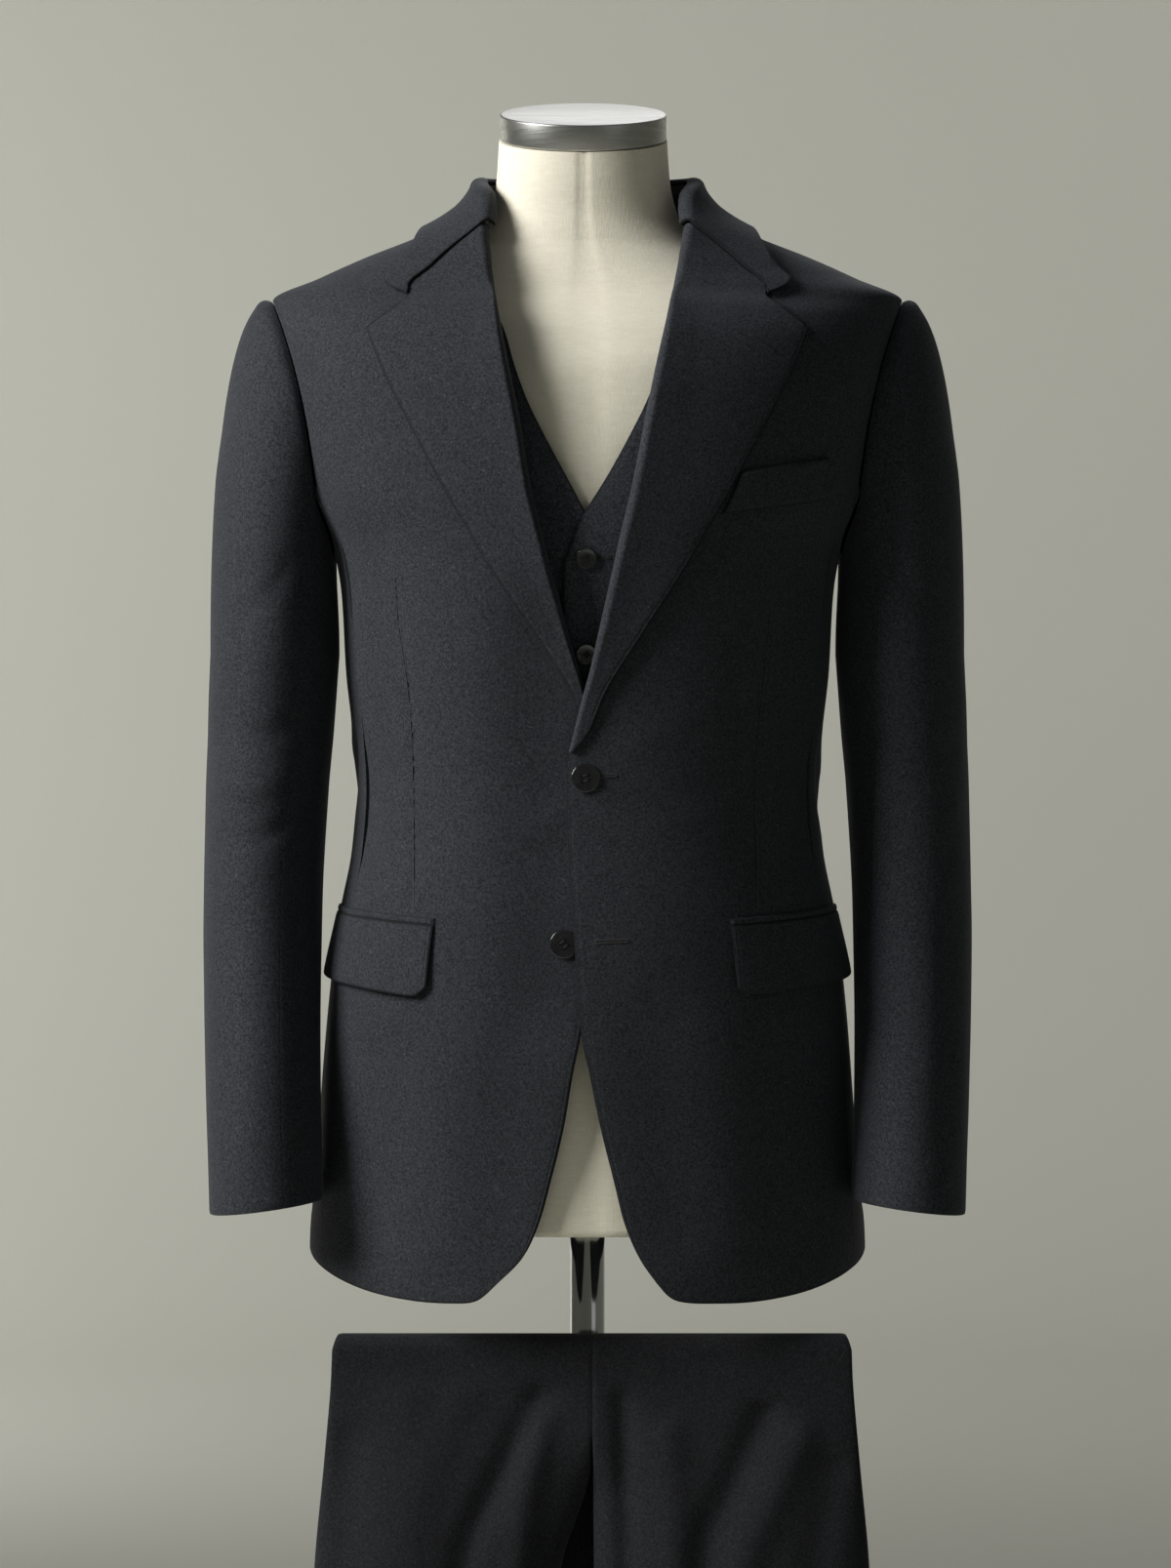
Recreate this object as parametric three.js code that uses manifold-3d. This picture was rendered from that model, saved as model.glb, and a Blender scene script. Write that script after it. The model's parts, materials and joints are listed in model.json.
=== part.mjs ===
// Three-piece suit on a limbless dress form and stand.
// Millimetres. +Z is up, -Y is the front and +X is the wearer's left.
// The origin is on the floor, under the axis of the pole.
import * as THREE from "three";
import { mergeVertices } from "three/addons/utils/BufferGeometryUtils.js";
import Module from "manifold-3d";

const wasm = await Module();
wasm.setup();

// Driving dimensions of the cloth
const jacketWall = 2.2;
const waistcoatWall = 2;
const trouserWall = 1.8;
const seamGap = 0.4;
const layerGap = 0.4;
const squareness = 2.2;

// Driving dimensions of the stand
const neckOffset = -3;
const capDiameter = 116;
const capThickness = 18;
const capTilt = THREE.MathUtils.degToRad(15);
const poleDiameter = 24;
const baseDiameter = 380;
const baseThickness = 8;
const formBottom = 1003;
const formTop = 1768;

// The cloth's main heights
const breakHeight = 1332;
const shoulderHeight = 1646;
const neckSeamHeight = 1709;
const armholeCentre = 1558;
const armholeRadius = 88;
const armholeFrontSwing = 23;
const armholeBackSwing = 30;
const frontSeamAngle = 70;
const backSeamAngle = 115;
const shoulderSeamAngle = 92;

// Each row is a level section: half width, depth in front of and behind the widest line, and that line's Y.
const jacketRows = [
  { z: 940, wide: 196, front: 134, back: 140, middle: 24 },
  { z: 1000, wide: 194, front: 135, back: 139, middle: 22 },
  { z: 1060, wide: 190, front: 135, back: 138, middle: 19 },
  { z: 1120, wide: 185.5, front: 135, back: 136, middle: 14 },
  { z: 1183, wide: 179, front: 132, back: 131, middle: 8 },
  { z: 1224, wide: 172, front: 128, back: 125, middle: 4 },
  { z: 1265, wide: 164, front: 124, back: 119, middle: 2 },
  { z: 1306, wide: 161, front: 121.5, back: 115.5, middle: 0 },
  { z: 1346, wide: 163.5, front: 123, back: 116.5, middle: 0 },
  { z: 1387, wide: 168, front: 127, back: 119.5, middle: 0 },
  { z: 1440, wide: 171, front: 132, back: 123, middle: 0 },
  { z: 1470, wide: 176, front: 134.5, back: 124.5, middle: 0 },
  { z: 1507, wide: 195, front: 136, back: 126, middle: 0 },
  { z: 1574, wide: 211, front: 132, back: 122, middle: 0 },
  { z: 1610, wide: 216, front: 122, back: 114, middle: 0 },
  { z: 1632, wide: 218, front: 106, back: 102, middle: 0 },
  { z: 1646, wide: 219, front: 88, back: 90, middle: 0 },
  { z: 1661, wide: 188, front: 77, back: 84, middle: 0 },
  { z: 1676, wide: 155, front: 70, back: 78.4, middle: 2 },
  { z: 1689, wide: 122, front: 66, back: 74.4, middle: 3 },
  { z: 1699, wide: 101, front: 63, back: 71.6, middle: 4 },
  { z: 1709, wide: 86, front: 61, back: 69, middle: 4 },
  { z: 1722, wide: 75, front: 59, back: 66, middle: 4 },
  { z: 1740, wide: 68, front: 57, back: 64, middle: 4 },
];

const formRows = [
  { z: 940, wide: 160, front: 108, back: 118, middle: 8 },
  { z: 1003, wide: 172, front: 112, back: 124, middle: 8 },
  { z: 1060, wide: 175, front: 113, back: 126, middle: 8 },
  { z: 1120, wide: 171, front: 112, back: 122, middle: 6 },
  { z: 1200, wide: 160, front: 106, back: 112, middle: 3 },
  { z: 1306, wide: 148, front: 99, back: 104, middle: 0 },
  { z: 1387, wide: 156, front: 106, back: 108, middle: 0 },
  { z: 1440, wide: 158, front: 112, back: 111, middle: 0 },
  { z: 1480, wide: 162, front: 116, back: 113, middle: 0 },
  { z: 1530, wide: 178, front: 117, back: 113, middle: 0 },
  { z: 1590, wide: 186, front: 108, back: 106, middle: 0 },
  { z: 1620, wide: 188, front: 90, back: 90, middle: 0 },
  { z: 1636, wide: 178, front: 76, back: 76, middle: 1 },
  { z: 1652, wide: 148, front: 64, back: 63, middle: 2 },
  { z: 1670, wide: 108, front: 57, back: 57, middle: 3 },
  { z: 1686, wide: 82, front: 54, back: 55, middle: 4 },
  { z: 1704, wide: 67, front: 53, back: 54, middle: 4 },
  { z: 1730, wide: 60.5, front: 55, back: 55, middle: 4 },
  { z: 1780, wide: 57.5, front: 56, back: 56, middle: 4 },
];

// The front edges, from the hem's round corner up to the break and on up the roll line.
// The right front lies under the left one, so it is given as seen from its own side.
const frontEdge = [
  { z: 972, left: 47, right: 61 },
  { z: 989, left: 35.4, right: 44.5 },
  { z: 1012, left: 25.6, right: 33.5 },
  { z: 1042, left: 18, right: 25 },
  { z: 1077, left: 9.2, right: 16.5 },
  { z: 1112, left: 2, right: 10.5 },
  { z: 1147, left: -4.6, right: 3.5 },
  { z: 1213, left: -9.2, right: -8 },
  { z: 1263, left: -13, right: -11 },
  { z: 1314, left: -14.4, right: -12 },
  { z: 1332, left: -12.5, right: -11 },
];
const rollLine = [
  { z: 1332, left: -12.5, right: -11, outer: -9.5 },
  { z: 1346, left: -9, right: -6, outer: 2 },
  { z: 1376, left: -1.3, right: 3, outer: 15 },
  { z: 1415, left: 8, right: 14, outer: 39.5 },
  { z: 1464, left: 19, right: 27, outer: 70 },
  { z: 1509, left: 29.5, right: 38, outer: 96 },
  { z: 1552, left: 38, right: 45, outer: 119 },
  { z: 1592, left: 46, right: 53, outer: 139 },
  { z: 1624, left: 53, right: 59, outer: 149 },
  { z: 1640, left: 56.4, right: 61.8, outer: 149 },
  { z: 1650, left: 58.6, right: 63.4, outer: 149 },
  { z: 1660, left: 60.6, right: 64.8, outer: 149 },
  { z: 1669, left: 62.3, right: 65.8, outer: 149 },
  { z: 1677, left: 63.6, right: 66.6, outer: 149 },
  { z: 1686, left: 65, right: 67.2, outer: 149 },
  { z: 1694, left: 66, right: 67.5, outer: 149 },
];
const lapelTip = { x: 149.8, z: 1619 };
const notchCorner = { x: 121, z: 1641 };
const collarTip = { x: 138, z: 1653.5 };
const gorgeStart = 1694;

// Smooth value of a table's column between its rows, with no overshoot.
function valueAt(rows, column, at, key = "z") {
  const last = rows.length - 1;
  if (at <= rows[0][key]) return rows[0][column];
  if (at >= rows[last][key]) return rows[last][column];
  let i = 0;
  while (rows[i + 1][key] < at) i += 1;
  const step = (a) => rows[a + 1][key] - rows[a][key];
  const slope = (a) => (rows[a + 1][column] - rows[a][column]) / step(a);
  const tangent = (a) => {
    if (a === 0) return slope(0);
    if (a === last) return slope(last - 1);
    const before = slope(a - 1);
    const after = slope(a);
    return before * after <= 0 ? 0 : (2 * before * after) / (before + after);
  };
  const h = step(i);
  const s = (at - rows[i][key]) / h;
  const rise = s * s * (3 - 2 * s);
  const start = s * (1 - s) * (1 - s) * h * tangent(i);
  const end = -s * s * (1 - s) * h * tangent(i + 1);
  return rows[i][column] * (1 - rise) + rows[i + 1][column] * rise + start + end;
}

const radians = THREE.MathUtils.degToRad;
const mix = THREE.MathUtils.lerp;

// A signed power, which gives a section its squareness.
function power(value, exponent) {
  return Math.sign(value) * Math.abs(value) ** exponent;
}

// A point of a body table at an angle from the front centre, in degrees, and a height.
function ringPoint(rows, angle, z) {
  const wide = valueAt(rows, "wide", z);
  const middle = valueAt(rows, "middle", z);
  const along = Math.cos(radians(angle));
  const across = Math.sin(radians(angle));
  const depth = valueAt(rows, along > 0 ? "front" : "back", z);
  const x = wide * power(across, 2 / squareness);
  return new THREE.Vector3(x, middle - depth * power(along, 2 / squareness), z);
}

// The same point moved out along the surface's own normal.
function surfacePoint(rows, angle, z, out = 0) {
  const dAngle = ringPoint(rows, angle + 1, z).sub(ringPoint(rows, angle - 1, z));
  const dHeight = ringPoint(rows, angle, z + 2).sub(ringPoint(rows, angle, z - 2));
  const normal = dAngle.cross(dHeight).normalize();
  return ringPoint(rows, angle, z).addScaledVector(normal, out);
}

// The angle at which a body table has a given X in front.
function angleOf(rows, x, z) {
  const share = THREE.MathUtils.clamp(x / valueAt(rows, "wide", z), -1, 1);
  return THREE.MathUtils.radToDeg(Math.asin(power(share, squareness / 2)));
}

// A smooth curve through [angle, z] or [x, z] pairs, as a function of a share of its length.
function curveThrough(pairs) {
  const curve = new THREE.SplineCurve(pairs.map(([a, b]) => new THREE.Vector2(a, b)));
  return (share) => curve.getPointAt(share).toArray();
}

// Curves end to end, each over its share of the whole.
function chain(...parts) {
  return (at) => {
    let from = 0;
    for (const [share, curve] of parts) {
      if (at <= from + share + 1e-9) return curve(Math.min((at - from) / share, 1));
      from += share;
    }
    return parts.at(-1)[1](1);
  };
}

// A patch between four edges: bottom and top run with u, left and right with v.
function patch(bottom, top, left, right) {
  const corners = [bottom(0), bottom(1), top(0), top(1)];
  return (u, v) =>
    [0, 1].map((i) => {
      const level = (1 - v) * bottom(u)[i] + v * top(u)[i];
      const upright = (1 - u) * left(v)[i] + u * right(v)[i];
      const low = (1 - u) * corners[0][i] + u * corners[1][i];
      const high = (1 - u) * corners[2][i] + u * corners[3][i];
      return level + upright - (1 - v) * low - v * high;
    });
}

// A closed solid between an outer and an inner grid of points of the same size.
function solidBetween(outer, inner) {
  const rows = outer.length;
  const columns = outer[0].length;
  const points = [...outer.flat(), ...inner.flat()];
  const inside = rows * columns;
  const faces = [];
  const quad = (a, b, c, d) => faces.push(a, b, c, a, c, d);
  const high = (rows - 1) * columns;
  for (let r = 0; r < rows - 1; r += 1) {
    for (let c = 0; c < columns - 1; c += 1) {
      const a = r * columns + c;
      const d = a + columns;
      quad(a, a + 1, d + 1, d);
      quad(inside + d, inside + d + 1, inside + a + 1, inside + a);
    }
  }
  for (let c = 0; c < columns - 1; c += 1) {
    quad(inside + c, inside + c + 1, c + 1, c);
    quad(high + c, high + c + 1, inside + high + c + 1, inside + high + c);
  }
  for (let r = 0; r < rows - 1; r += 1) {
    const a = r * columns;
    const b = a + columns;
    const last = columns - 1;
    quad(inside + a, a, b, inside + b);
    quad(a + last, inside + a + last, inside + b + last, b + last);
  }
  return facingOut(points, faces);
}

// A geometry of points and faces, turned if need be so that its faces point outwards.
function facingOut(points, faces) {
  let volume = 0;
  for (let i = 0; i < faces.length; i += 3) {
    const [a, b, c] = [points[faces[i]], points[faces[i + 1]], points[faces[i + 2]]];
    volume += a.dot(b.clone().cross(c));
  }
  if (volume < 0) faces.reverse();
  const geometry = new THREE.BufferGeometry().setFromPoints(points);
  geometry.setIndex(faces);
  geometry.computeVertexNormals();
  return geometry;
}

// The mean normal of a grid of points at each of them.
function gridNormals(grid) {
  const lastRow = grid.length - 1;
  const lastColumn = grid[0].length - 1;
  return grid.map((row, r) =>
    row.map((point, c) => {
      const across = row[Math.min(c + 1, lastColumn)].clone().sub(row[Math.max(c - 1, 0)]);
      const along = grid[Math.min(r + 1, lastRow)][c].clone().sub(grid[Math.max(r - 1, 0)][c]);
      return across.cross(along).normalize();
    }),
  );
}

// Grid shares from 0 to 1, or a list of chosen ones.
function shares(count) {
  return Array.isArray(count) ? count : Array.from({ length: count + 1 }, (_, i) => i / count);
}

// A grid of points on a body table: place(u, v) gives [angle, z] and out(u, v) how far it stands out.
function bodyGrid({ rows, place, across, up, out = () => 0 }) {
  return shares(up).map((v) =>
    shares(across).map((u) => {
      const [angle, z] = place(u, v);
      return surfacePoint(rows, angle, z, out(u, v));
    }),
  );
}

// A cloth panel on a body table, one wall thick.
function panel(cut) {
  const out = cut.out ?? (() => 0);
  const outer = bodyGrid({ ...cut, out });
  const inner = bodyGrid({ ...cut, out: (u, v) => out(u, v) - cut.wall });
  return solidBetween(outer, inner);
}

// The other side's copy of a geometry.
function mirror(geometry) {
  const other = geometry.clone().scale(-1, 1, 1);
  const index = other.index.array;
  for (let i = 0; i < index.length; i += 3) {
    [index[i + 1], index[i + 2]] = [index[i + 2], index[i + 1]];
  }
  return other;
}

// Turns a geometry into a solid for a boolean cut, and back.
function solidOf(geometry) {
  const plain = new THREE.BufferGeometry();
  plain.setAttribute("position", geometry.getAttribute("position"));
  if (geometry.index) plain.setIndex(geometry.index);
  const merged = mergeVertices(plain, 1e-4);
  const vertProperties = merged.attributes.position.array;
  const triVerts = new Uint32Array(merged.index.array);
  return new wasm.Manifold(new wasm.Mesh({ numProp: 3, vertProperties, triVerts }));
}
function geometryOf(solid) {
  const mesh = solid.getMesh();
  const geometry = new THREE.BufferGeometry();
  geometry.setAttribute("position", new THREE.Float32BufferAttribute(mesh.vertProperties, 3));
  geometry.setIndex(new THREE.Uint32BufferAttribute(mesh.triVerts, 1));
  return geometry;
}

// A block whose outline, given as points, is seen from a level direction; 0 looks at the front.
const cutFrom = 30;
const cutTo = 200;
function outlineBlock(points, direction) {
  const outward = new THREE.Vector3(Math.sin(radians(direction)), -Math.cos(radians(direction)), 0);
  const upward = new THREE.Vector3(0, 0, 1);
  const sideways = new THREE.Vector3().crossVectors(upward, outward);
  const flat = points.map((p) => new THREE.Vector2(p.dot(sideways), p.z));
  const block = new THREE.ExtrudeGeometry(new THREE.Shape(flat), {
    depth: cutTo - cutFrom,
    bevelEnabled: false,
  });
  block.applyMatrix4(new THREE.Matrix4().makeBasis(sideways, upward, outward));
  return block.translate(outward.x * cutFrom, outward.y * cutFrom, 0);
}

const finishes = {
  wool: new THREE.MeshStandardMaterial({ color: 0x2b2c31, roughness: 0.9, metalness: 0 }),
  canvas: new THREE.MeshStandardMaterial({ color: 0xd8d2bb, roughness: 0.85, metalness: 0 }),
  horn: new THREE.MeshStandardMaterial({ color: 0x17181b, roughness: 0.35, metalness: 0 }),
  brushed: new THREE.MeshStandardMaterial({ color: 0xb4b5b2, roughness: 0.35, metalness: 1 }),
  chrome: new THREE.MeshStandardMaterial({ color: 0xd2d4d6, roughness: 0.1, metalness: 1 }),
};

const group = new THREE.Group();

// Adds one named piece with a material of its own.
function add(name, geometry, finish) {
  const piece = new THREE.Mesh(geometry, finishes[finish].clone());
  piece.name = name;
  group.add(piece);
  return piece;
}

// Adds a wool piece made for the left side, or its mirrored copy.
function addSided(name, geometry, mirrored) {
  return add(name, mirrored ? mirror(geometry) : geometry, "wool");
}

const sides = [
  { side: "left", mirrored: false },
  { side: "right", mirrored: true },
];

// The form: one closed canvas body from its flat bottom up to the neck under the cap.
const formHeights = [
  1003, 1060, 1130, 1200, 1255, 1306, 1360, 1420, 1480, 1530, 1575, 1604, 1622, 1636, 1650, 1666,
  1682, 1702, 1735,
];
const formSteps = 26;
const capPlane = new THREE.Vector3(0, -Math.sin(capTilt), Math.cos(capTilt));

function formTopPoint(angle, height) {
  const point = ringPoint(formRows, angle, height);
  const middle = valueAt(formRows, "middle", height);
  point.z = height - ((point.y - middle) * capPlane.y) / capPlane.z;
  point.x += neckOffset;
  return point;
}

function formGeometry() {
  const rings = formHeights.map((z) =>
    Array.from({ length: formSteps }, (_, i) => {
      const point = ringPoint(formRows, (360 * i) / formSteps, z);
      point.x += neckOffset * THREE.MathUtils.smoothstep(z, shoulderHeight, neckSeamHeight);
      return point;
    }),
  );
  const top = Array.from({ length: formSteps }, (_, i) =>
    formTopPoint((360 * i) / formSteps, formTop - capThickness / 2),
  );
  rings.push(top);
  const points = rings.flat();
  const faces = [];
  for (let r = 0; r < rings.length - 1; r += 1) {
    for (let c = 0; c < formSteps; c += 1) {
      const next = (c + 1) % formSteps;
      const a = r * formSteps + c;
      const b = r * formSteps + next;
      faces.push(a, b, b + formSteps, a, b + formSteps, a + formSteps);
    }
  }
  const low = points.length;
  const bottomMiddle = new THREE.Vector3(0, valueAt(formRows, "middle", formBottom), formBottom);
  const topMiddle = top.reduce((sum, p) => sum.add(p), new THREE.Vector3()).divideScalar(formSteps);
  points.push(bottomMiddle, topMiddle);
  for (let c = 0; c < formSteps; c += 1) {
    const next = (c + 1) % formSteps;
    const high = (rings.length - 1) * formSteps;
    faces.push(low, next, c, low + 1, high + c, high + next);
  }
  const geometry = new THREE.BufferGeometry().setFromPoints(points);
  geometry.setIndex(faces);
  return geometry;
}
add("form_torso", formGeometry(), "canvas");

// The brushed cap on the neck, tilted a little to the front.
const capEdge = 1.5;
const capProfile = [
  [0, 0],
  [capDiameter / 2 - capEdge, 0],
  [capDiameter / 2, capEdge],
  [capDiameter / 2, capThickness - capEdge],
  [capDiameter / 2 - capEdge, capThickness],
  [0, capThickness],
].map(([x, y]) => new THREE.Vector2(x, y));
const cap = add("neck_cap", new THREE.LatheGeometry(capProfile, 36), "brushed");
cap.rotation.x = Math.PI / 2 + capTilt;
const neckMiddle = valueAt(formRows, "middle", formTop);
cap.position.set(neckOffset, neckMiddle, formTop - capThickness / 2);
cap.position.addScaledVector(capPlane, layerGap);

// The stand: base plate, boss, and the pole that ends against the form's bottom.
function lathe(profile, segments = 24) {
  const turned = new THREE.LatheGeometry(profile.map(([x, y]) => new THREE.Vector2(x, y)), segments);
  return turned.rotateX(Math.PI / 2);
}
const poleRadius = poleDiameter / 2;
const baseRadius = baseDiameter / 2;
const bossRadius = 24;
const bossHeight = 34;
const bossTop = baseThickness + layerGap + bossHeight;
const baseProfile = [
  [0, 0],
  [baseRadius, 0],
  [baseRadius, baseThickness - 3],
  [baseRadius - 5, baseThickness],
  [0, baseThickness],
];
const bossProfile = [
  [poleRadius + layerGap, baseThickness + layerGap],
  [bossRadius + 8, baseThickness + layerGap],
  [bossRadius + 8, baseThickness + 6],
  [bossRadius, baseThickness + 10],
  [bossRadius, bossTop - 2],
  [bossRadius - 2, bossTop],
  [poleRadius + layerGap, bossTop],
  [poleRadius + layerGap, baseThickness + layerGap],
];
const poleProfile = [
  [0, baseThickness + layerGap],
  [poleRadius, baseThickness + layerGap],
  [poleRadius, formBottom - layerGap],
  [0, formBottom - layerGap],
];
add("base_plate", lathe(baseProfile, 48), "brushed");
add("pole_boss", lathe(bossProfile), "chrome");
add("pole", lathe(poleProfile, 24), "chrome");

// Jacket body: fronts, side bodies and backs share the jacket table.
// The armhole is a loop round the side; turn is 0 at the shoulder tip and 180 under the arm.
function armholePoint(turn, front) {
  const swing = front ? armholeFrontSwing : -armholeBackSwing;
  return [90 - swing * Math.sin(radians(turn)), armholeCentre + armholeRadius * Math.cos(radians(turn))];
}
const bodyCut = 1.2;
const backCutExtra = 0.8;
function armholeEdge(turn, front) {
  const [angle, z] = armholePoint(turn, front);
  const away = front ? -1 : 1 + backCutExtra;
  const sideways = (away * bodyCut * Math.sin(radians(turn)) * 180) / (Math.PI * 200);
  return [angle + sideways, z + bodyCut * Math.cos(radians(turn)) * (turn > 90 ? 1 : 0)];
}
const frontSeamTurn = THREE.MathUtils.radToDeg(
  Math.PI - Math.asin((90 - frontSeamAngle) / armholeFrontSwing),
);
const backSeamTurn = THREE.MathUtils.radToDeg(
  Math.PI - Math.asin((backSeamAngle - 90) / armholeBackSwing),
);
const seamAngle = 0.07;

// The hem falls towards the front and is highest at the side.
const hemRows = [
  { angle: 20, z: 957.5 },
  { angle: 32, z: 958 },
  { angle: 50, z: 964 },
  { angle: 70, z: 976 },
  { angle: 90, z: 985 },
  { angle: 115, z: 984 },
  { angle: 180, z: 982 },
];
const hemAt = (angle) => valueAt(hemRows, "z", angle, "angle");

const seamRows = 14;
const panelRows = 22;
const seamShare = seamRows / panelRows;
const frontShares = { edge: 0.5, neck: 0.32 };
const rollInset = 3;
const hemCorner = { inset: 14, z: 960 };
const hemAngles = [26, 36, 50, frontSeamAngle];
const bodyNeck = neckSeamHeight - 8;
const shoulderMiddle = { front: [91, 1660], back: [91.6, 1660] };
const shoulderInner = { front: [shoulderSeamAngle - 0.5, 1676], back: [shoulderSeamAngle + 0.4, 1676] };
const frontNeck = [
  [52, 1699],
  [72, 1701],
];
const backNeck = [
  [125, 1702],
  [155, 1701],
];

function frontPlace(side) {
  const lie = (x, z) => [angleOf(jacketRows, x, z), z];
  const corner = frontEdge[0];
  const edge = frontEdge.map((row) => lie(row[side], row.z));
  const roll = rollLine.map((row, i) => lie(row[side] + (i === 0 ? 0 : rollInset), row.z));
  const hem = hemAngles.map((angle) => [angle, hemAt(angle)]);
  const turn = lie(corner[side] + hemCorner.inset, hemCorner.z);
  const bottom = curveThrough([lie(corner[side], corner.z), turn, ...hem]);
  const left = chain([frontShares.edge, curveThrough(edge)], [1 - frontShares.edge, curveThrough(roll)]);
  const topStart = roll.at(-1);
  const neckPoint = [shoulderSeamAngle - seamAngle, bodyNeck];
  const neck = curveThrough([topStart, ...frontNeck, neckPoint]);
  const tip = armholeEdge(0, true);
  const shoulder = curveThrough([neckPoint, shoulderInner.front, shoulderMiddle.front, tip]);
  const seam = curveThrough([
    [frontSeamAngle - seamAngle, hemAt(frontSeamAngle)],
    [frontSeamAngle - seamAngle, 1250],
    [frontSeamAngle - seamAngle, armholeEdge(frontSeamTurn, true)[1]],
  ]);
  const armhole = (at) => armholeEdge(frontSeamTurn * (1 - at), true);
  const right = chain([seamShare, seam], [1 - seamShare, armhole]);
  const top = chain([frontShares.neck, neck], [1 - frontShares.neck, shoulder]);
  return patch(bottom, top, left, right);
}

// The right front dips under the left one along the overlap.
const underlapRows = [
  { z: 1120, dip: 0 },
  { z: 1190, dip: 6.5 },
  { z: 1400, dip: 6.5 },
  { z: 1460, dip: 0 },
];
const underlapReach = 20;
function rightDip(x, z) {
  const inward = 1 - THREE.MathUtils.smoothstep(x, underlapReach, underlapReach * 4);
  return -valueAt(underlapRows, "dip", z) * inward;
}
const frontAcross = [0, 0.06, 0.15, 0.26, 0.38, 0.52, 0.68, 0.84, 1];
const frontCuts = {};

for (const { side, mirrored } of sides) {
  const place = frontPlace(side);
  const dip = (u, v) => {
    if (side === "left") return 0;
    const [angle, z] = place(u, v);
    return rightDip(ringPoint(jacketRows, angle, z).x, z);
  };
  const size = { across: frontAcross, up: panelRows, wall: jacketWall };
  frontCuts[side] = { rows: jacketRows, place, out: dip, ...size };
  addSided(`jacket_front_${side}`, panel(frontCuts[side]), mirrored);
}

// Side bodies run from the front's seam to the back's, under the armhole.
const sidePlace = (() => {
  const start = frontSeamAngle + seamAngle;
  const end = backSeamAngle - seamAngle;
  const bottom = (at) => [mix(start, end, at), hemAt(mix(start, end, at))];
  const low = armholeEdge(frontSeamTurn, true);
  const high = armholeEdge(backSeamTurn, false);
  const left = (at) => [start, mix(hemAt(start), low[1], at)];
  const right = (at) => [end, mix(hemAt(end), high[1], at)];
  const top = (at) => {
    if (at === 0) return left(1);
    if (at === 1) return right(1);
    const turn = at < 0.5 ? mix(frontSeamTurn, 180, at * 2) : mix(180, backSeamTurn, at * 2 - 1);
    return armholeEdge(turn, at < 0.5);
  };
  return patch(bottom, top, left, right);
})();
const sideCut = { rows: jacketRows, place: sidePlace, across: 6, up: seamRows, wall: jacketWall };
for (const { side, mirrored } of sides) {
  addSided(`jacket_side_${side}`, panel(sideCut), mirrored);
}

// Backs meet at the centre seam. Their upper corner is the end of the shoulder seam.
const backPlace = (() => {
  const start = backSeamAngle + seamAngle;
  const centre = 180 - seamAngle * 2;
  const bottom = (at) => [mix(start, centre, at), hemAt(mix(start, centre, at))];
  const seamTop = armholeEdge(backSeamTurn, false)[1];
  const seam = (at) => [start, mix(hemAt(start), seamTop, at)];
  const armhole = (at) => armholeEdge(backSeamTurn * (1 - at), false);
  const left = chain([seamShare, seam], [1 - seamShare, armhole]);
  const neckPoint = [shoulderSeamAngle + seamAngle * 4, bodyNeck];
  const tip = [90 + seamAngle * 3, armholeEdge(0, false)[1]];
  const shoulder = curveThrough([tip, shoulderMiddle.back, shoulderInner.back, neckPoint]);
  const neck = curveThrough([neckPoint, ...backNeck, [centre, bodyNeck]]);
  const top = chain([0.6, shoulder], [0.4, neck]);
  const right = (at) => [centre, mix(hemAt(180), bodyNeck, at)];
  return patch(bottom, top, left, right);
})();
const backCut = { rows: jacketRows, place: backPlace, across: 8, up: panelRows, wall: jacketWall };
for (const { side, mirrored } of sides) {
  addSided(`jacket_back_${side}`, panel(backCut), mirrored);
}

// Lapels are made from the fronts' points, moved out: full at the roll line, close at the outer edge.
const lapelEase = 4.5;
const lapelFade = 35;
const lapelLie = jacketWall + layerGap;
const gorgeGap = 0.6;
const blockMargin = 8;
const frontPoint = (x, z) => ringPoint(jacketRows, angleOf(jacketRows, x, z), z);

function lapelOutline(side) {
  const bare = rollLine.map((row) => frontPoint(row[side] - blockMargin, row.z - gorgeGap));
  const notch = frontPoint(notchCorner.x, notchCorner.z - gorgeGap);
  const tip = frontPoint(lapelTip.x, lapelTip.z);
  const edge = rollLine.filter((row) => row.z < lapelTip.z).map((row) => frontPoint(row.outer, row.z));
  const gorge = frontPoint(rollLine.at(-1)[side], gorgeStart - gorgeGap);
  return [...bare, gorge, notch, tip, ...edge.reverse()];
}

// A wall cut from a panel's own grid, lifted by out, inside an outline.
function cutFromPanel(cut, out, wall, outline, direction) {
  const base = cut.out ?? (() => 0);
  const outer = bodyGrid({ ...cut, out: (u, v) => base(u, v) + out(u, v) });
  const inner = bodyGrid({ ...cut, out: (u, v) => base(u, v) + out(u, v) - wall });
  const layer = solidOf(solidBetween(outer, inner));
  return geometryOf(layer.intersect(solidOf(outlineBlock(outline, direction))));
}

for (const { side, mirrored } of sides) {
  const cut = frontCuts[side];
  const ease = (u, v) => {
    const [angle, z] = cut.place(u, v);
    const roll = valueAt(rollLine, side, z);
    const distance = Math.max(ringPoint(jacketRows, angle, z).x - roll, 0);
    const opened = THREE.MathUtils.smoothstep(z, breakHeight, breakHeight + 90);
    return lapelLie + opened * lapelEase * Math.exp(-distance / lapelFade);
  };
  const lapel = cutFromPanel(cut, ease, jacketWall, lapelOutline(side), 0);
  addSided(`lapel_${side}`, lapel, mirrored);
}

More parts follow.
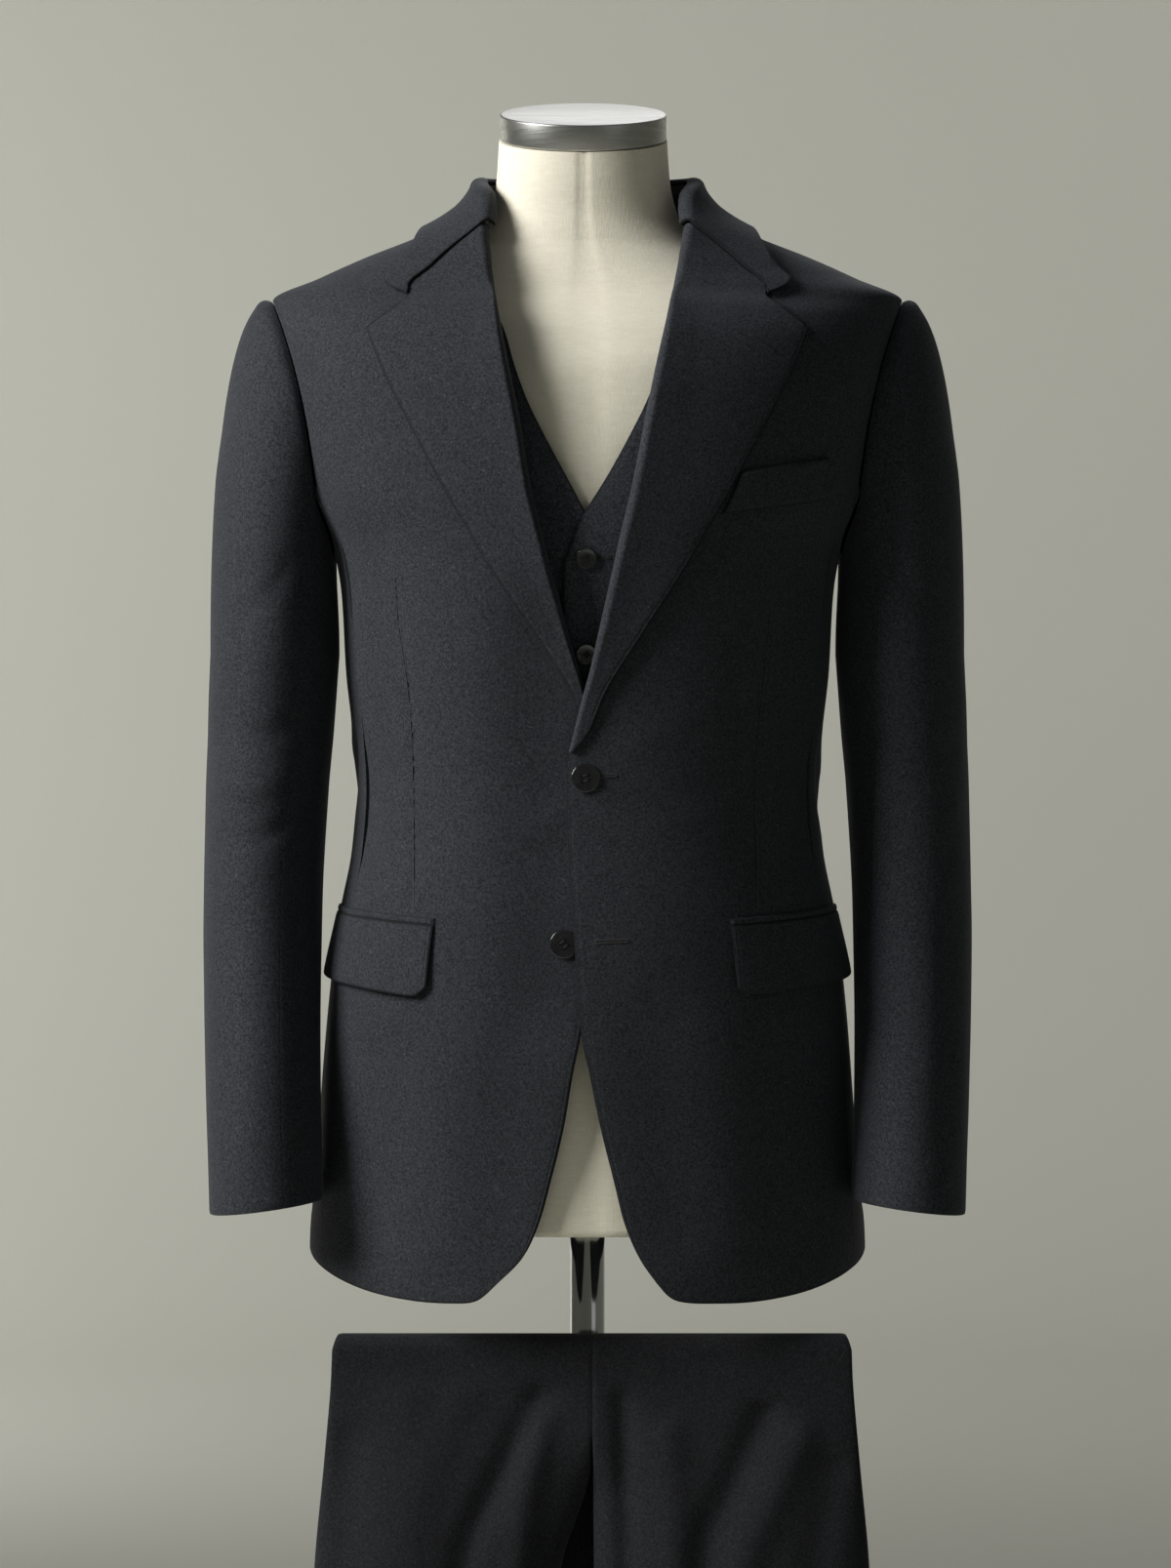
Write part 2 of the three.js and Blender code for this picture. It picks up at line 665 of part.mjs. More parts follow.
// The collar: a stand on the neck seam, and a leaf that falls from the fold over body and stand.
const onJacket = (x, z) => [angleOf(jacketRows, x, z), z];
const foldRows = [
  { angle: 35, z: gorgeStart + gorgeGap * 2 },
  { angle: 45, z: 1707 },
  { angle: 57, z: 1718 },
  { angle: 75, z: 1726 },
  { angle: 90, z: 1731 },
  { angle: 135, z: 1735 },
  { angle: 180, z: 1736 },
];
const leafEdgeRows = [
  { angle: 43.8, z: 1667 },
  { angle: 50, z: 1679 },
  { angle: 57.5, z: 1689 },
  { angle: 72, z: 1696 },
  { angle: 90, z: 1698 },
  { angle: 125, z: 1695 },
  { angle: 180, z: 1693 },
];
const standDrop = 3.5;
const collarPlace = (() => {
  const fold = foldRows.map((row) => [row.angle, row.z]);
  const notch = onJacket(notchCorner.x, notchCorner.z + gorgeGap);
  const tip = onJacket(collarTip.x, collarTip.z);
  const edge = [tip, ...leafEdgeRows.map((row) => [row.angle, row.z])];
  const left = chain([0.8, curveThrough([fold[0], notch])], [0.2, curveThrough([notch, tip])]);
  const right = (at) => [180, mix(fold.at(-1)[1], edge.at(-1)[1], at)];
  return patch(left, right, curveThrough(fold), curveThrough(edge));
})();
const leafRise = [
  { across: 0, out: 1.6 },
  { across: 0.16, out: 5.4 },
  { across: 0.5, out: 5 },
  { across: 1, out: 4 },
];
const leafAcross = [0, 0.16, 0.36, 0.58, 0.8, 1];
const leafSteps = 10;

// A strip that goes round the neck from the left end to the right one.
function neckStrip(place, across, out, wall) {
  const half = [0, wall].map((depth) =>
    shares(leafSteps).map((v) =>
      across.map((u) => {
        const [angle, z] = place(u, v);
        return surfacePoint(jacketRows, angle, z, out(u) - depth);
      }),
    ),
  );
  const whole = half.map((grid) => {
    const other = grid.slice(0, -1).map((row) => row.map((p) => new THREE.Vector3(-p.x, p.y, p.z)));
    return [...grid, ...other.reverse()];
  });
  return solidBetween(whole[0], whole[1]);
}
const leafOut = (u) => valueAt(leafRise, "out", u, "across");
add("collar_leaf", neckStrip(collarPlace, leafAcross, leafOut, jacketWall), "wool");

const standPlace = (() => {
  const start = 38;
  const seam = [
    [start, 1699.5],
    [52, 1701],
    [72, 1702.5],
    [92, 1703.5],
    [130, 1704],
    [180, 1703],
  ];
  const high = [start, ...foldRows.slice(1).map((row) => row.angle)].map((angle) => [
    angle,
    valueAt(foldRows, "z", angle, "angle") - standDrop,
  ]);
  high[0][1] += standDrop / 2;
  const left = (at) => [start, mix(high[0][1], seam[0][1], at)];
  const right = (at) => [180, mix(high.at(-1)[1], seam.at(-1)[1], at)];
  return patch(left, right, curveThrough(high), curveThrough(seam));
})();
add("collar_stand", neckStrip(standPlace, [0, 0.5, 1], () => 0, jacketWall), "wool");

// Sleeves: a head that turns out of the armhole, then level ovals down to the cuff.
const sleeveRows = [
  { z: 1010, outer: 259.5, inner: 181, depth: 46, middle: -51 },
  { z: 1100, outer: 263, inner: 184, depth: 50, middle: -35 },
  { z: 1160, outer: 265.5, inner: 185, depth: 53, middle: -18 },
  { z: 1224, outer: 267, inner: 184.5, depth: 56, middle: -4 },
  { z: 1306, outer: 266, inner: 180.5, depth: 60, middle: 4 },
  { z: 1346, outer: 264.5, inner: 177, depth: 62, middle: 5 },
  { z: 1400, outer: 262, inner: 173, depth: 66, middle: 4 },
];
const headBottom = 1400;
const cuffHeight = 1020;
const cuffSlope = 5;
const sleeveStart = 0.7;
const elbow = 0.48;
const elbowGap = seamGap / 2 / (headBottom - cuffHeight);
const headLevels = [-1, -0.94, -0.86, -0.74, -0.58, -0.4, -0.2];
const upperLevels = [0, 0.12, 0.24, 0.36];
const lowerLevels = [0.6, 0.72, 0.82, 0.91, 1];
const topSleeve = { from: -104, to: 112, steps: 10 };
const underSleeve = { from: 112, to: 256, steps: 5 };

function sleeveRing(turn, z) {
  const outer = valueAt(sleeveRows, "outer", z);
  const inner = valueAt(sleeveRows, "inner", z);
  const x = (outer + inner) / 2 + ((outer - inner) / 2) * Math.cos(radians(turn));
  const y = valueAt(sleeveRows, "middle", z) - valueAt(sleeveRows, "depth", z) * Math.sin(radians(turn));
  return new THREE.Vector3(x, y, z);
}

// The way in which the sleeve leaves the armhole: outwards on top, down under the arm.
const leaveSideways = 0.3;
const leaveUp = { top: 0.12, under: -0.78 };
const leaveReach = { top: 30, under: 6 };
const headStretch = 0.55;

// A point at a turn and a level: -1 is the armhole, 0 the head's lower end and 1 the cuff.
function sleevePoint(turn, level) {
  if (level >= 0) {
    const low = cuffHeight - cuffSlope * Math.cos(radians(turn));
    return sleeveRing(turn, mix(headBottom, low, level));
  }
  const front = Math.sin(radians(turn)) > 0;
  const [angle, z] = armholePoint(Math.abs(((turn + 540) % 360) - 180), front);
  const start = surfacePoint(jacketRows, angle, z, sleeveStart);
  const end = sleeveRing(turn, headBottom);
  const top = (1 + Math.cos(radians(turn))) / 2;
  const sideways = -leaveSideways * Math.sin(radians(turn));
  const leaving = new THREE.Vector3(top, sideways, mix(leaveUp.under, leaveUp.top, top)).normalize();
  const first = start.clone().addScaledVector(leaving, mix(leaveReach.under, leaveReach.top, top));
  const second = end.clone().setZ(end.z + headStretch * (start.z - end.z));
  return new THREE.CubicBezierCurve3(start, first, second, end).getPoint(level + 1);
}

function sleeveWall({ from, to, steps }, levels) {
  const seam = THREE.MathUtils.radToDeg(seamGap / 2 / 50);
  const turns = shares(steps).map((share) => mix(from + seam, to - seam, share));
  const grid = levels.map((level) => turns.map((turn) => sleevePoint(turn, level)));
  const inner = grid.map((row, r) =>
    row.map((point, c) => {
      const near = (turn, at) => sleevePoint(turn, THREE.MathUtils.clamp(at, -1, 1));
      const across = near(turns[c] + 3, levels[r]).sub(near(turns[c] - 3, levels[r]));
      const along = near(turns[c], levels[r] + 0.06).sub(near(turns[c], levels[r] - 0.06));
      return point.clone().addScaledVector(across.cross(along).normalize(), -jacketWall);
    }),
  );
  return solidBetween(grid, inner);
}

// The under sleeve is two pieces, above and below the elbow.
const wholeSleeve = [...headLevels, ...upperLevels, elbow, ...lowerLevels];
const upperSleeve = [...headLevels, ...upperLevels, elbow - elbowGap];
const lowerSleeve = [elbow + elbowGap, ...lowerLevels];
for (const { side, mirrored } of sides) {
  addSided(`sleeve_top_${side}`, sleeveWall(topSleeve, wholeSleeve), mirrored);
  addSided(`sleeve_under_${side}`, sleeveWall(underSleeve, upperSleeve), mirrored);
  addSided(`sleeve_under_low_${side}`, sleeveWall(underSleeve, lowerSleeve), mirrored);
}

// Waistcoat: two fronts and a plain back, close over the form.
const waistcoatEase = 5;
const shoulderEase = 3.5;
const waistcoatOverlap = 3.6;
function waistcoatOut(z) {
  return waistcoatEase + waistcoatWall + shoulderEase * THREE.MathUtils.smoothstep(z, 1590, 1640);
}
const waistcoatEdge = [
  { z: 1153, left: 8, right: 14 },
  { z: 1175, left: -8, right: -2 },
  { z: 1200, left: -14, right: -10 },
  { z: 1300, left: -15.5, right: -12 },
  { z: 1446, left: -16, right: -12 },
  { z: 1460, left: -14.7, right: -11 },
  { z: 1477, left: -9.2, right: -7 },
  { z: 1498, left: 1, right: 4 },
  { z: 1519, left: 14, right: 15 },
  { z: 1563, left: 37.5, right: 38 },
  { z: 1592, left: 48.5, right: 49 },
  { z: 1621, left: 57.5, right: 57.5 },
  { z: 1650, left: 61.5, right: 61.5 },
  { z: 1672, left: 62, right: 62 },
];
const waistcoatHem = [
  { angle: 3, z: 1153 },
  { angle: 20, z: 1160 },
  { angle: 60, z: 1186 },
  { angle: 90, z: 1194 },
  { angle: 180, z: 1196 },
];
const vestHole = { middle: 1548, radius: 98, front: 30, back: 34 };
function vestHolePoint(turn, front) {
  const swing = front ? vestHole.front : -vestHole.back;
  const angle = 90 - swing * Math.sin(radians(turn));
  return [angle, vestHole.middle + vestHole.radius * Math.cos(radians(turn))];
}
const vestSeam = 0.1;
const vestNeck = { angle: 92, z: 1684 };
const vestTip = [90, vestHole.middle + vestHole.radius];

function waistcoatPlace(side) {
  const lie = (x, z) => [angleOf(formRows, x, z), z];
  const edge = curveThrough(waistcoatEdge.map((row) => lie(row[side], row.z)));
  const corner = waistcoatEdge[0];
  const sideAngle = 90 - vestSeam;
  const hem = waistcoatHem.slice(1, 4).map((row) => [Math.min(row.angle, sideAngle), row.z]);
  const bottom = curveThrough([lie(corner[side], corner.z), ...hem]);
  const seamTop = vestHolePoint(180, true)[1];
  const seam = (at) => [sideAngle, mix(hem.at(-1)[1], seamTop, at)];
  const armhole = (at) => {
    const [angle, z] = vestHolePoint(180 * (1 - at), true);
    return [angle - vestSeam * (1 - at), z];
  };
  const top = lie(waistcoatEdge.at(-1)[side], waistcoatEdge.at(-1).z);
  const neckPoint = [vestNeck.angle - vestSeam * 2, vestNeck.z];
  const neck = curveThrough([top, [60, 1680], neckPoint]);
  const shoulder = curveThrough([neckPoint, [91, 1666], vestTip]);
  return patch(bottom, chain([0.45, neck], [0.55, shoulder]), edge, chain([0.5, seam], [0.5, armhole]));
}
const waistcoatCuts = {};
for (const { side, mirrored } of sides) {
  const place = waistcoatPlace(side);
  const under = (u, v) => {
    const [angle, z] = place(u, v);
    const x = ringPoint(formRows, angle, z).x;
    const lapped = 1 - THREE.MathUtils.smoothstep(x, 20, 45);
    const low = 1 - THREE.MathUtils.smoothstep(z, 1490, 1540);
    return side === "right" ? -waistcoatOverlap * lapped * low : 0;
  };
  const out = (u, v) => waistcoatOut(place(u, v)[1]) + under(u, v);
  const across = [0, 0.1, 0.24, 0.4, 0.6, 0.8, 1];
  waistcoatCuts[side] = { rows: formRows, place, across, up: 16, wall: waistcoatWall, out };
  addSided(`waistcoat_front_${side}`, panel(waistcoatCuts[side]), mirrored);
}

// The waistcoat's back is one panel from side seam to side seam.
const waistcoatBack = (() => {
  const start = 90 + vestSeam;
  const hem = (angle) => valueAt(waistcoatHem, "z", angle, "angle");
  const seamTop = vestHolePoint(180, false)[1];
  const seam = (at) => [start, mix(hem(90), seamTop, at)];
  const armhole = (at) => {
    const [angle, z] = vestHolePoint(180 * (1 - at), false);
    return [angle + vestSeam, z];
  };
  const tip = [vestTip[0] + vestSeam, vestTip[1]];
  const neckPoint = [vestNeck.angle + vestSeam * 2, vestNeck.z];
  const shoulder = curveThrough([tip, [91 + vestSeam * 2, 1666], neckPoint]);
  const neck = curveThrough([neckPoint, [130, 1690], [180, 1690]]);
  const bottom = (at) => [mix(start, 180, at), hem(mix(start, 180, at))];
  const top = chain([0.5, shoulder], [0.5, neck]);
  const right = (at) => [180, mix(hem(180), 1690, at)];
  return patch(bottom, top, chain([0.5, seam], [0.5, armhole]), right);
})();
const waistcoatBackGeometry = (() => {
  const grids = [0, waistcoatWall].map((depth) => {
    const out = (u, v) => waistcoatOut(waistcoatBack(u, v)[1]) - depth;
    const half = bodyGrid({ rows: formRows, place: waistcoatBack, across: 5, up: 16, out });
    return half.map((row) => {
      const other = row.slice(0, -1).map((p) => new THREE.Vector3(-p.x, p.y, p.z));
      return [...row, ...other.reverse()];
    });
  });
  return solidBetween(grids[0], grids[1]);
})();
add("waistcoat_back", waistcoatBackGeometry, "wool");

// Trousers, folded over a hidden bar above the crotch: legs in front, waist turned down behind.
// Along the cloth's middle path, reach is 0 on top of the bar, positive in front and negative behind.
const barCentre = { y: -65, z: 923.6 };
const barRadius = 5.8;
const barLength = 340;
const trouserCentre = 3;
const layerOffset = 2.2;
const pathRadius = barRadius + layerGap + layerOffset;
const quarterTurn = (Math.PI / 2) * pathRadius;
const crotchHeight = 849;
const trouserHem = 62;
const waistReach = -170;
const waistbandDepth = 38;

// Half widths of the hanging trousers, how far front and back stand out, and the side seam's Y.
const trouserRows = [
  { z: 62, outer: 160, innerLeft: 17, innerRight: 28, front: 32, back: 32, seam: -76 },
  { z: 300, outer: 166, innerLeft: 13, innerRight: 27, front: 32, back: 33, seam: -77 },
  { z: 480, outer: 175, innerLeft: 9, innerRight: 25, front: 33, back: 34, seam: -78 },
  { z: 650, outer: 187, innerLeft: 4, innerRight: 24, front: 33, back: 26, seam: -81 },
  { z: 740, outer: 190.5, innerLeft: 1.5, innerRight: 23, front: 29, back: 13, seam: -82.2 },
  { z: 773, outer: 189.5, innerLeft: 1, innerRight: 21, front: 25, back: 11.5, seam: -81 },
  { z: 849, outer: 183, innerLeft: 0.3, innerRight: 0.3, front: 12, back: 7, seam: -76.5 },
  { z: 900, outer: 178.5, innerLeft: 0.3, innerRight: 0.3, front: 3, back: 3.5, seam: -73.6 },
  { z: 923.6, outer: 177, innerLeft: 0.3, innerRight: 0.3, front: 0, back: 0, seam: -73.4 },
];
const turnedRows = [
  { z: 760, outer: 172, ease: 4 },
  { z: 870, outer: 174, ease: 1 },
  { z: 923.6, outer: 176, ease: 0 },
];
const topHalfWidth = 173;

// The middle path's point and outward normal, both as { y, z }.
function clothPath(reach) {
  if (Math.abs(reach) <= quarterTurn) {
    const turn = reach / pathRadius;
    const normal = { y: -Math.sin(turn), z: Math.cos(turn) };
    const point = { y: barCentre.y + pathRadius * normal.y, z: barCentre.z + pathRadius * normal.z };
    return { point, normal };
  }
  const z = barCentre.z - (Math.abs(reach) - quarterTurn);
  if (reach > 0) return { point: { y: valueAt(trouserRows, "seam", z), z }, normal: { y: -1, z: 0 } };
  const ease = valueAt(turnedRows, "ease", z);
  return { point: { y: barCentre.y + pathRadius + ease, z }, normal: { y: 1, z: 0 } };
}

// How full the cloth is between its seams: open at the centre above the crotch, closed below it.
function fullness(u, z) {
  const rise = Math.sqrt(1 - u ** 2.5);
  const leg = Math.sqrt(Math.max(1 - Math.abs(2 * u - 1) ** 2.5, 0));
  return mix(leg, rise, THREE.MathUtils.smoothstep(z, crotchHeight - 25, crotchHeight + 25));
}

function trouserPoint(side, face, u, reach, lift = 0) {
  const { point, normal } = clothPath(reach);
  const turned = THREE.MathUtils.clamp(Math.abs(reach) / quarterTurn, 0, 1);
  const rows = reach >= 0 ? trouserRows : turnedRows;
  const outer = mix(topHalfWidth, valueAt(rows, "outer", point.z), turned);
  const column = side === "left" ? "innerLeft" : "innerRight";
  const inner = reach > 0 ? valueAt(trouserRows, column, point.z) : seamGap / 2;
  const bulge = reach > quarterTurn ? valueAt(trouserRows, face, point.z) * fullness(u, point.z) : 0;
  const out = (face === "front" ? 1 : -1) * (layerOffset + bulge + lift);
  const x = mix(inner, outer, u) * (side === "left" ? 1 : -1) + trouserCentre;
  return new THREE.Vector3(x, point.y + normal.y * out, point.z + normal.z * out);
}

function trouserPanel(side, face, reaches, across, lift = 0, wall = trouserWall) {
  const grid = reaches.map((reach) => across.map((u) => trouserPoint(side, face, u, reach, lift)));
  const inward = face === "front" ? 1 : -1;
  const normals = gridNormals(grid);
  const turn = normals[0][0].y > 0 ? 1 : -1;
  const inner = grid.map((row, r) =>
    row.map((p, c) => p.clone().addScaledVector(normals[r][c], -wall * turn * inward)),
  );
  return solidBetween(grid, inner);
}
const bandReach = waistReach + waistbandDepth;
const turnReaches = [-1, -0.66, -0.33, 0, 0.33, 0.66, 1].map((share) => share * quarterTurn);
const legHeights = [905, 880, 849, 811, 773, 740, 690, 620, 530, 420, 300, 180, trouserHem];
const legReaches = legHeights.map((z) => barCentre.z - z + quarterTurn);
const trouserReaches = [bandReach + seamGap, -90, -45, ...turnReaches, ...legReaches];
const trouserAcross = [0, 0.09, 0.3, 0.55, 0.8, 0.95, 1];
for (const { side } of sides) {
  for (const face of ["front", "back"]) {
    const cloth = trouserPanel(side, face, trouserReaches, trouserAcross);
    add(`trouser_${face}_${side}`, cloth, "wool");
  }
}

// The waistband carries on from the panels, one strip on each face, and the fly lies on the front.
const bandReaches = [waistReach, bandReach];
for (const face of ["front", "back"]) {
  const strips = sides.map(({ side }) => trouserPanel(side, face, bandReaches, [0, 0.5, 1]));
  add(`waistband_${face}_left`, strips[0], "wool");
  add(`waistband_${face}_right`, strips[1], "wool");
}
const flyWidth = 0.22;
const flyLift = trouserWall + layerGap;
const flyReaches = [bandReach + seamGap, -90, -45, -quarterTurn - 2];
add("fly_front", trouserPanel("left", "front", flyReaches, [0.01, flyWidth / 2, flyWidth], flyLift), "wool");

// The bar, its flat bracket between the layers, and the collar that clamps the bracket to the pole.
const bar = new THREE.CylinderGeometry(barRadius, barRadius, barLength, 16);
bar.rotateZ(Math.PI / 2).translate(trouserCentre, barCentre.y, barCentre.z);
add("trouser_bar", bar, "chrome");
const bracketWidth = 18;
const bracketOffset = 14;
const bracketFront = -65.8;
const bracketBack = -60.4;
const bracketTop = barCentre.z - barRadius - layerGap;
const armTop = 736;
const armBottom = 728;
const clampRadius = 20;
const bracketProfile = new THREE.Shape(
  [
    [bracketFront, bracketTop],
    [bracketFront, armBottom],
    [-clampRadius / 2, armBottom],
    [-clampRadius / 2, armTop],
    [bracketBack, armTop],
    [bracketBack, bracketTop],
  ].map(([y, z]) => new THREE.Vector2(y, z)),
);
const bracket = new THREE.ExtrudeGeometry(bracketProfile, { depth: bracketWidth, bevelEnabled: false });
const alongX = new THREE.Vector3(1, 0, 0);
const alongY = new THREE.Vector3(0, 1, 0);
const alongZ = new THREE.Vector3(0, 0, 1);
bracket.applyMatrix4(new THREE.Matrix4().makeBasis(alongY, alongZ, alongX));
bracket.translate(bracketOffset - bracketWidth / 2, 0, 0);
const clampRoom = new THREE.CylinderGeometry(clampRadius + layerGap, clampRadius + layerGap, 60, 48);
clampRoom.rotateX(Math.PI / 2).translate(0, 0, armBottom);
add("bar_bracket", geometryOf(solidOf(bracket).subtract(solidOf(clampRoom))), "chrome");
const clampProfile = [
  [poleRadius + layerGap, 716],
  [clampRadius, 716],
  [clampRadius, 748],
  [poleRadius + layerGap, 748],
  [poleRadius + layerGap, 716],
];
add("bar_clamp", lathe(clampProfile), "chrome");

// Pockets: flaps and jettings lie over front and side body, the breast welt on the left front.
const pocketStart = { left: 31.7, right: 34.6 };
const pocketEnd = 86;
const pocketView = 57;
const jettingWall = 1.2;
const jettingDepth = 4.6;
const flapTop = [
  { along: 0, z: 1214 },
  { along: 0.5, z: 1218.5 },
  { along: 1, z: 1222 },
];
const flapHem = [
  { along: 0, z: 1172 },
  { along: 0.04, z: 1168 },
  { along: 0.12, z: 1166.5 },
  { along: 0.5, z: 1172 },
  { along: 1, z: 1178 },
];

// The front and the side body as one grid, from the hem to where the side seam ends.
function flankGrid(side, lift) {
  const front = frontCuts[side];
  const base = front.out;
  const panelShares = shares(panelRows).slice(0, seamRows + 1);
  const out = (u, v) => base(u, v) + lift;
  const first = bodyGrid({ ...front, up: panelShares, out });
  const second = bodyGrid({ ...sideCut, out: () => lift });
  return first.map((row, r) => [...row, ...second[r]]);
}
function cutFromFlank(side, lift, wall, outline) {
  const layer = solidOf(solidBetween(flankGrid(side, lift), flankGrid(side, lift - wall)));
  const block = outlineBlock(
    outline.map(([angle, z]) => ringPoint(jacketRows, angle, z)),
    pocketView,
  );
  return geometryOf(layer.intersect(solidOf(block)));
}
for (const { side, mirrored } of sides) {
  const lie = (row, raise = 0) => [mix(pocketStart[side], pocketEnd, row.along), row.z + raise];
  const flap = [...flapTop.map((row) => lie(row)), ...flapHem.map((row) => lie(row)).reverse()];
  const low = flapTop.map((row) => lie(row, seamGap));
  const high = flapTop.map((row) => lie(row, seamGap + jettingDepth));
  addSided(`flap_${side}`, cutFromFlank(side, lapelLie, jacketWall, flap), mirrored);
  const jettingLift = jettingWall + layerGap;
  const jetting = cutFromFlank(side, jettingLift, jettingWall, [...low, ...high.reverse()]);
  addSided(`jetting_${side}`, jetting, mirrored);
}
const weltCorners = [
  { x: 103.5, z: 1520.5 },
  { x: 163, z: 1532 },
  { x: 160.5, z: 1503.5 },
  { x: 90.5, z: 1492 },
];
const weltOutline = weltCorners.map((corner) => frontPoint(corner.x, corner.z));
const welt = cutFromPanel(frontCuts.left, () => lapelLie, jacketWall, weltOutline, 0);
addSided("breast_welt", welt, false);

// Buttons: a turned disc with a raised rim, set along the cloth's normal.
function buttonGeometry(diameter, thickness, segments) {
  const radius = diameter / 2;
  const rim = radius * 0.72;
  const profile = [
    [0, 0],
    [radius - 0.6, 0],
    [radius, 0.6],
    [radius, thickness - 0.6],
    [radius - 0.6, thickness],
    [rim, thickness],
    [rim - 0.7, thickness - 0.8],
    [0, thickness - 0.8],
  ].map(([x, y]) => new THREE.Vector2(x, y));
  return new THREE.LatheGeometry(profile, segments);
}
function addButton(name, geometry, point, normal, mirrored = false) {
  const button = add(name, geometry, "horn");
  const flip = mirrored ? new THREE.Vector3(-1, 1, 1) : new THREE.Vector3(1, 1, 1);
  button.position.copy(point.multiply(flip));
  button.quaternion.setFromUnitVectors(alongY, normal.multiply(flip));
}
function seatOn(rows, x, z, out) {
  const angle = angleOf(rows, x, z);
  const point = surfacePoint(rows, angle, z, out + layerGap);
  const normal = surfacePoint(rows, angle, z, out + layerGap + 1).sub(point);
  return [point, normal.normalize()];
}
const jacketButton = buttonGeometry(19.5, 3.4, 16);
addButton("jacket_button_top", jacketButton, ...seatOn(jacketRows, -1.3, 1314, 0));
const lowButton = { x: 15.8, z: 1202 };
const lowDip = rightDip(lowButton.x, lowButton.z);
const lowSeat = seatOn(jacketRows, lowButton.x, lowButton.z, lowDip);
addButton("jacket_button_low", jacketButton, ...lowSeat, true);

const waistcoatButtons = 5;
const waistcoatPitch = 64.4;
const waistcoatTopButton = 1462;
const buttonSink = 0.5;
for (let i = 0; i < waistcoatButtons; i += 1) {
  const z = waistcoatTopButton - i * waistcoatPitch;
  const seat = seatOn(formRows, -0.7, z, waistcoatOut(z) - buttonSink);
  addButton(`waistcoat_button_${i + 1}`, buttonGeometry(14, 3, 10), ...seat);
}

const cuffButtons = 4;
const cuffPitch = 16;
const firstCuffButton = 1042;
const cuffTurn = -82;
for (const { side, mirrored } of sides) {
  for (let i = 0; i < cuffButtons; i += 1) {
    const z = firstCuffButton + i * cuffPitch;
    const across = sleeveRing(cuffTurn + 2, z).sub(sleeveRing(cuffTurn - 2, z));
    const along = sleeveRing(cuffTurn, z - 2).sub(sleeveRing(cuffTurn, z + 2));
    const normal = across.cross(along).normalize();
    const point = sleeveRing(cuffTurn, z).addScaledVector(normal, layerGap);
    const disc = new THREE.CylinderGeometry(7, 7, 2.6, 12).translate(0, 1.3, 0);
    addButton(`cuff_button_${side}_${i + 1}`, disc, point, normal, mirrored);
  }
}

export default group;
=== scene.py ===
# Three-piece suit on a dress form: the looks of every piece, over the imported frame.
# Tables and settings are in millimetres, meshes in metres. -Y is the front, +X the wearer's left.
import json
import math
import bpy
import numpy as np
from mathutils import Matrix, Vector

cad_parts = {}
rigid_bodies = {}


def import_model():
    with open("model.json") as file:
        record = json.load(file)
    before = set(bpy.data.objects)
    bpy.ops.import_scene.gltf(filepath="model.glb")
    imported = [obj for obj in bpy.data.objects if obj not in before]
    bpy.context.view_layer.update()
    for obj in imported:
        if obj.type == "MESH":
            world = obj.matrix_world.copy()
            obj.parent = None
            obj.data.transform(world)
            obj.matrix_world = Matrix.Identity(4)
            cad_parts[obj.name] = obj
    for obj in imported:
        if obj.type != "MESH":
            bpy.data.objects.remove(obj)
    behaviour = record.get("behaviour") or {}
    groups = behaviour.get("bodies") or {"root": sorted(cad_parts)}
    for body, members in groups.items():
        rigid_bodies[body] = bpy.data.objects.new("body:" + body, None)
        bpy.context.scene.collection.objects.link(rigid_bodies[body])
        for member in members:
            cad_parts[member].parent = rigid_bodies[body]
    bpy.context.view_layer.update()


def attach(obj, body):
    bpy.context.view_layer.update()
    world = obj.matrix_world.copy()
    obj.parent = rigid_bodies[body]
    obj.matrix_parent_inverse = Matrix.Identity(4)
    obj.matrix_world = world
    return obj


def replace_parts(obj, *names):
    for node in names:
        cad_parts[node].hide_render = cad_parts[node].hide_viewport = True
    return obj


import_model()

bpy.ops.object.select_all(action="DESELECT")
mm = 0.001
flips = {"left": np.ones(3), "right": np.array([-1.0, 1.0, 1.0])}
print("frame loaded")

# level sections: half width, depth before and behind the widest line, and that line's Y
squareness = 2.2
jacketRows = {
    "z": (940, 1000, 1060, 1120, 1183, 1224, 1265, 1306, 1346, 1387, 1440, 1470, 1507, 1574, 1610,
          1632, 1646, 1661, 1676, 1689, 1699, 1709, 1722, 1740),
    "wide": (196, 194, 190, 185.5, 179, 172, 164, 161, 163.5, 168, 171, 176, 195, 211, 216,
             218, 219, 188, 155, 122, 101, 86, 75, 68),
    "front": (134, 135, 135, 135, 132, 128, 124, 121.5, 123, 127, 132, 134.5, 136, 132, 122,
              106, 88, 77, 70, 66, 63, 61, 59, 57),
    "back": (140, 139, 138, 136, 131, 125, 119, 115.5, 116.5, 119.5, 123, 124.5, 126, 122, 114,
             102, 90, 84, 78.4, 74.4, 71.6, 69, 66, 64),
    "middle": (24, 22, 19, 14, 8, 4, 2, 0, 0, 0, 0, 0, 0, 0, 0, 0, 0, 0, 2, 3, 4, 4, 4, 4),
}
formRows = {
    "z": (940, 1003, 1060, 1120, 1200, 1306, 1387, 1440, 1480, 1530, 1590, 1620, 1636, 1652, 1670,
          1686, 1704, 1730, 1780),
    "wide": (160, 172, 175, 171, 160, 148, 156, 158, 162, 178, 186, 188, 178, 148, 108, 82, 67, 60.5, 57.5),
    "front": (108, 112, 113, 112, 106, 99, 106, 112, 116, 117, 108, 90, 76, 64, 57, 54, 53, 55, 56),
    "back": (118, 124, 126, 122, 112, 104, 108, 111, 113, 113, 106, 90, 76, 63, 57, 55, 54, 55, 56),
    "middle": (8, 8, 8, 6, 3, 0, 0, 0, 0, 0, 0, 0, 1, 2, 3, 4, 4, 4, 4),
}


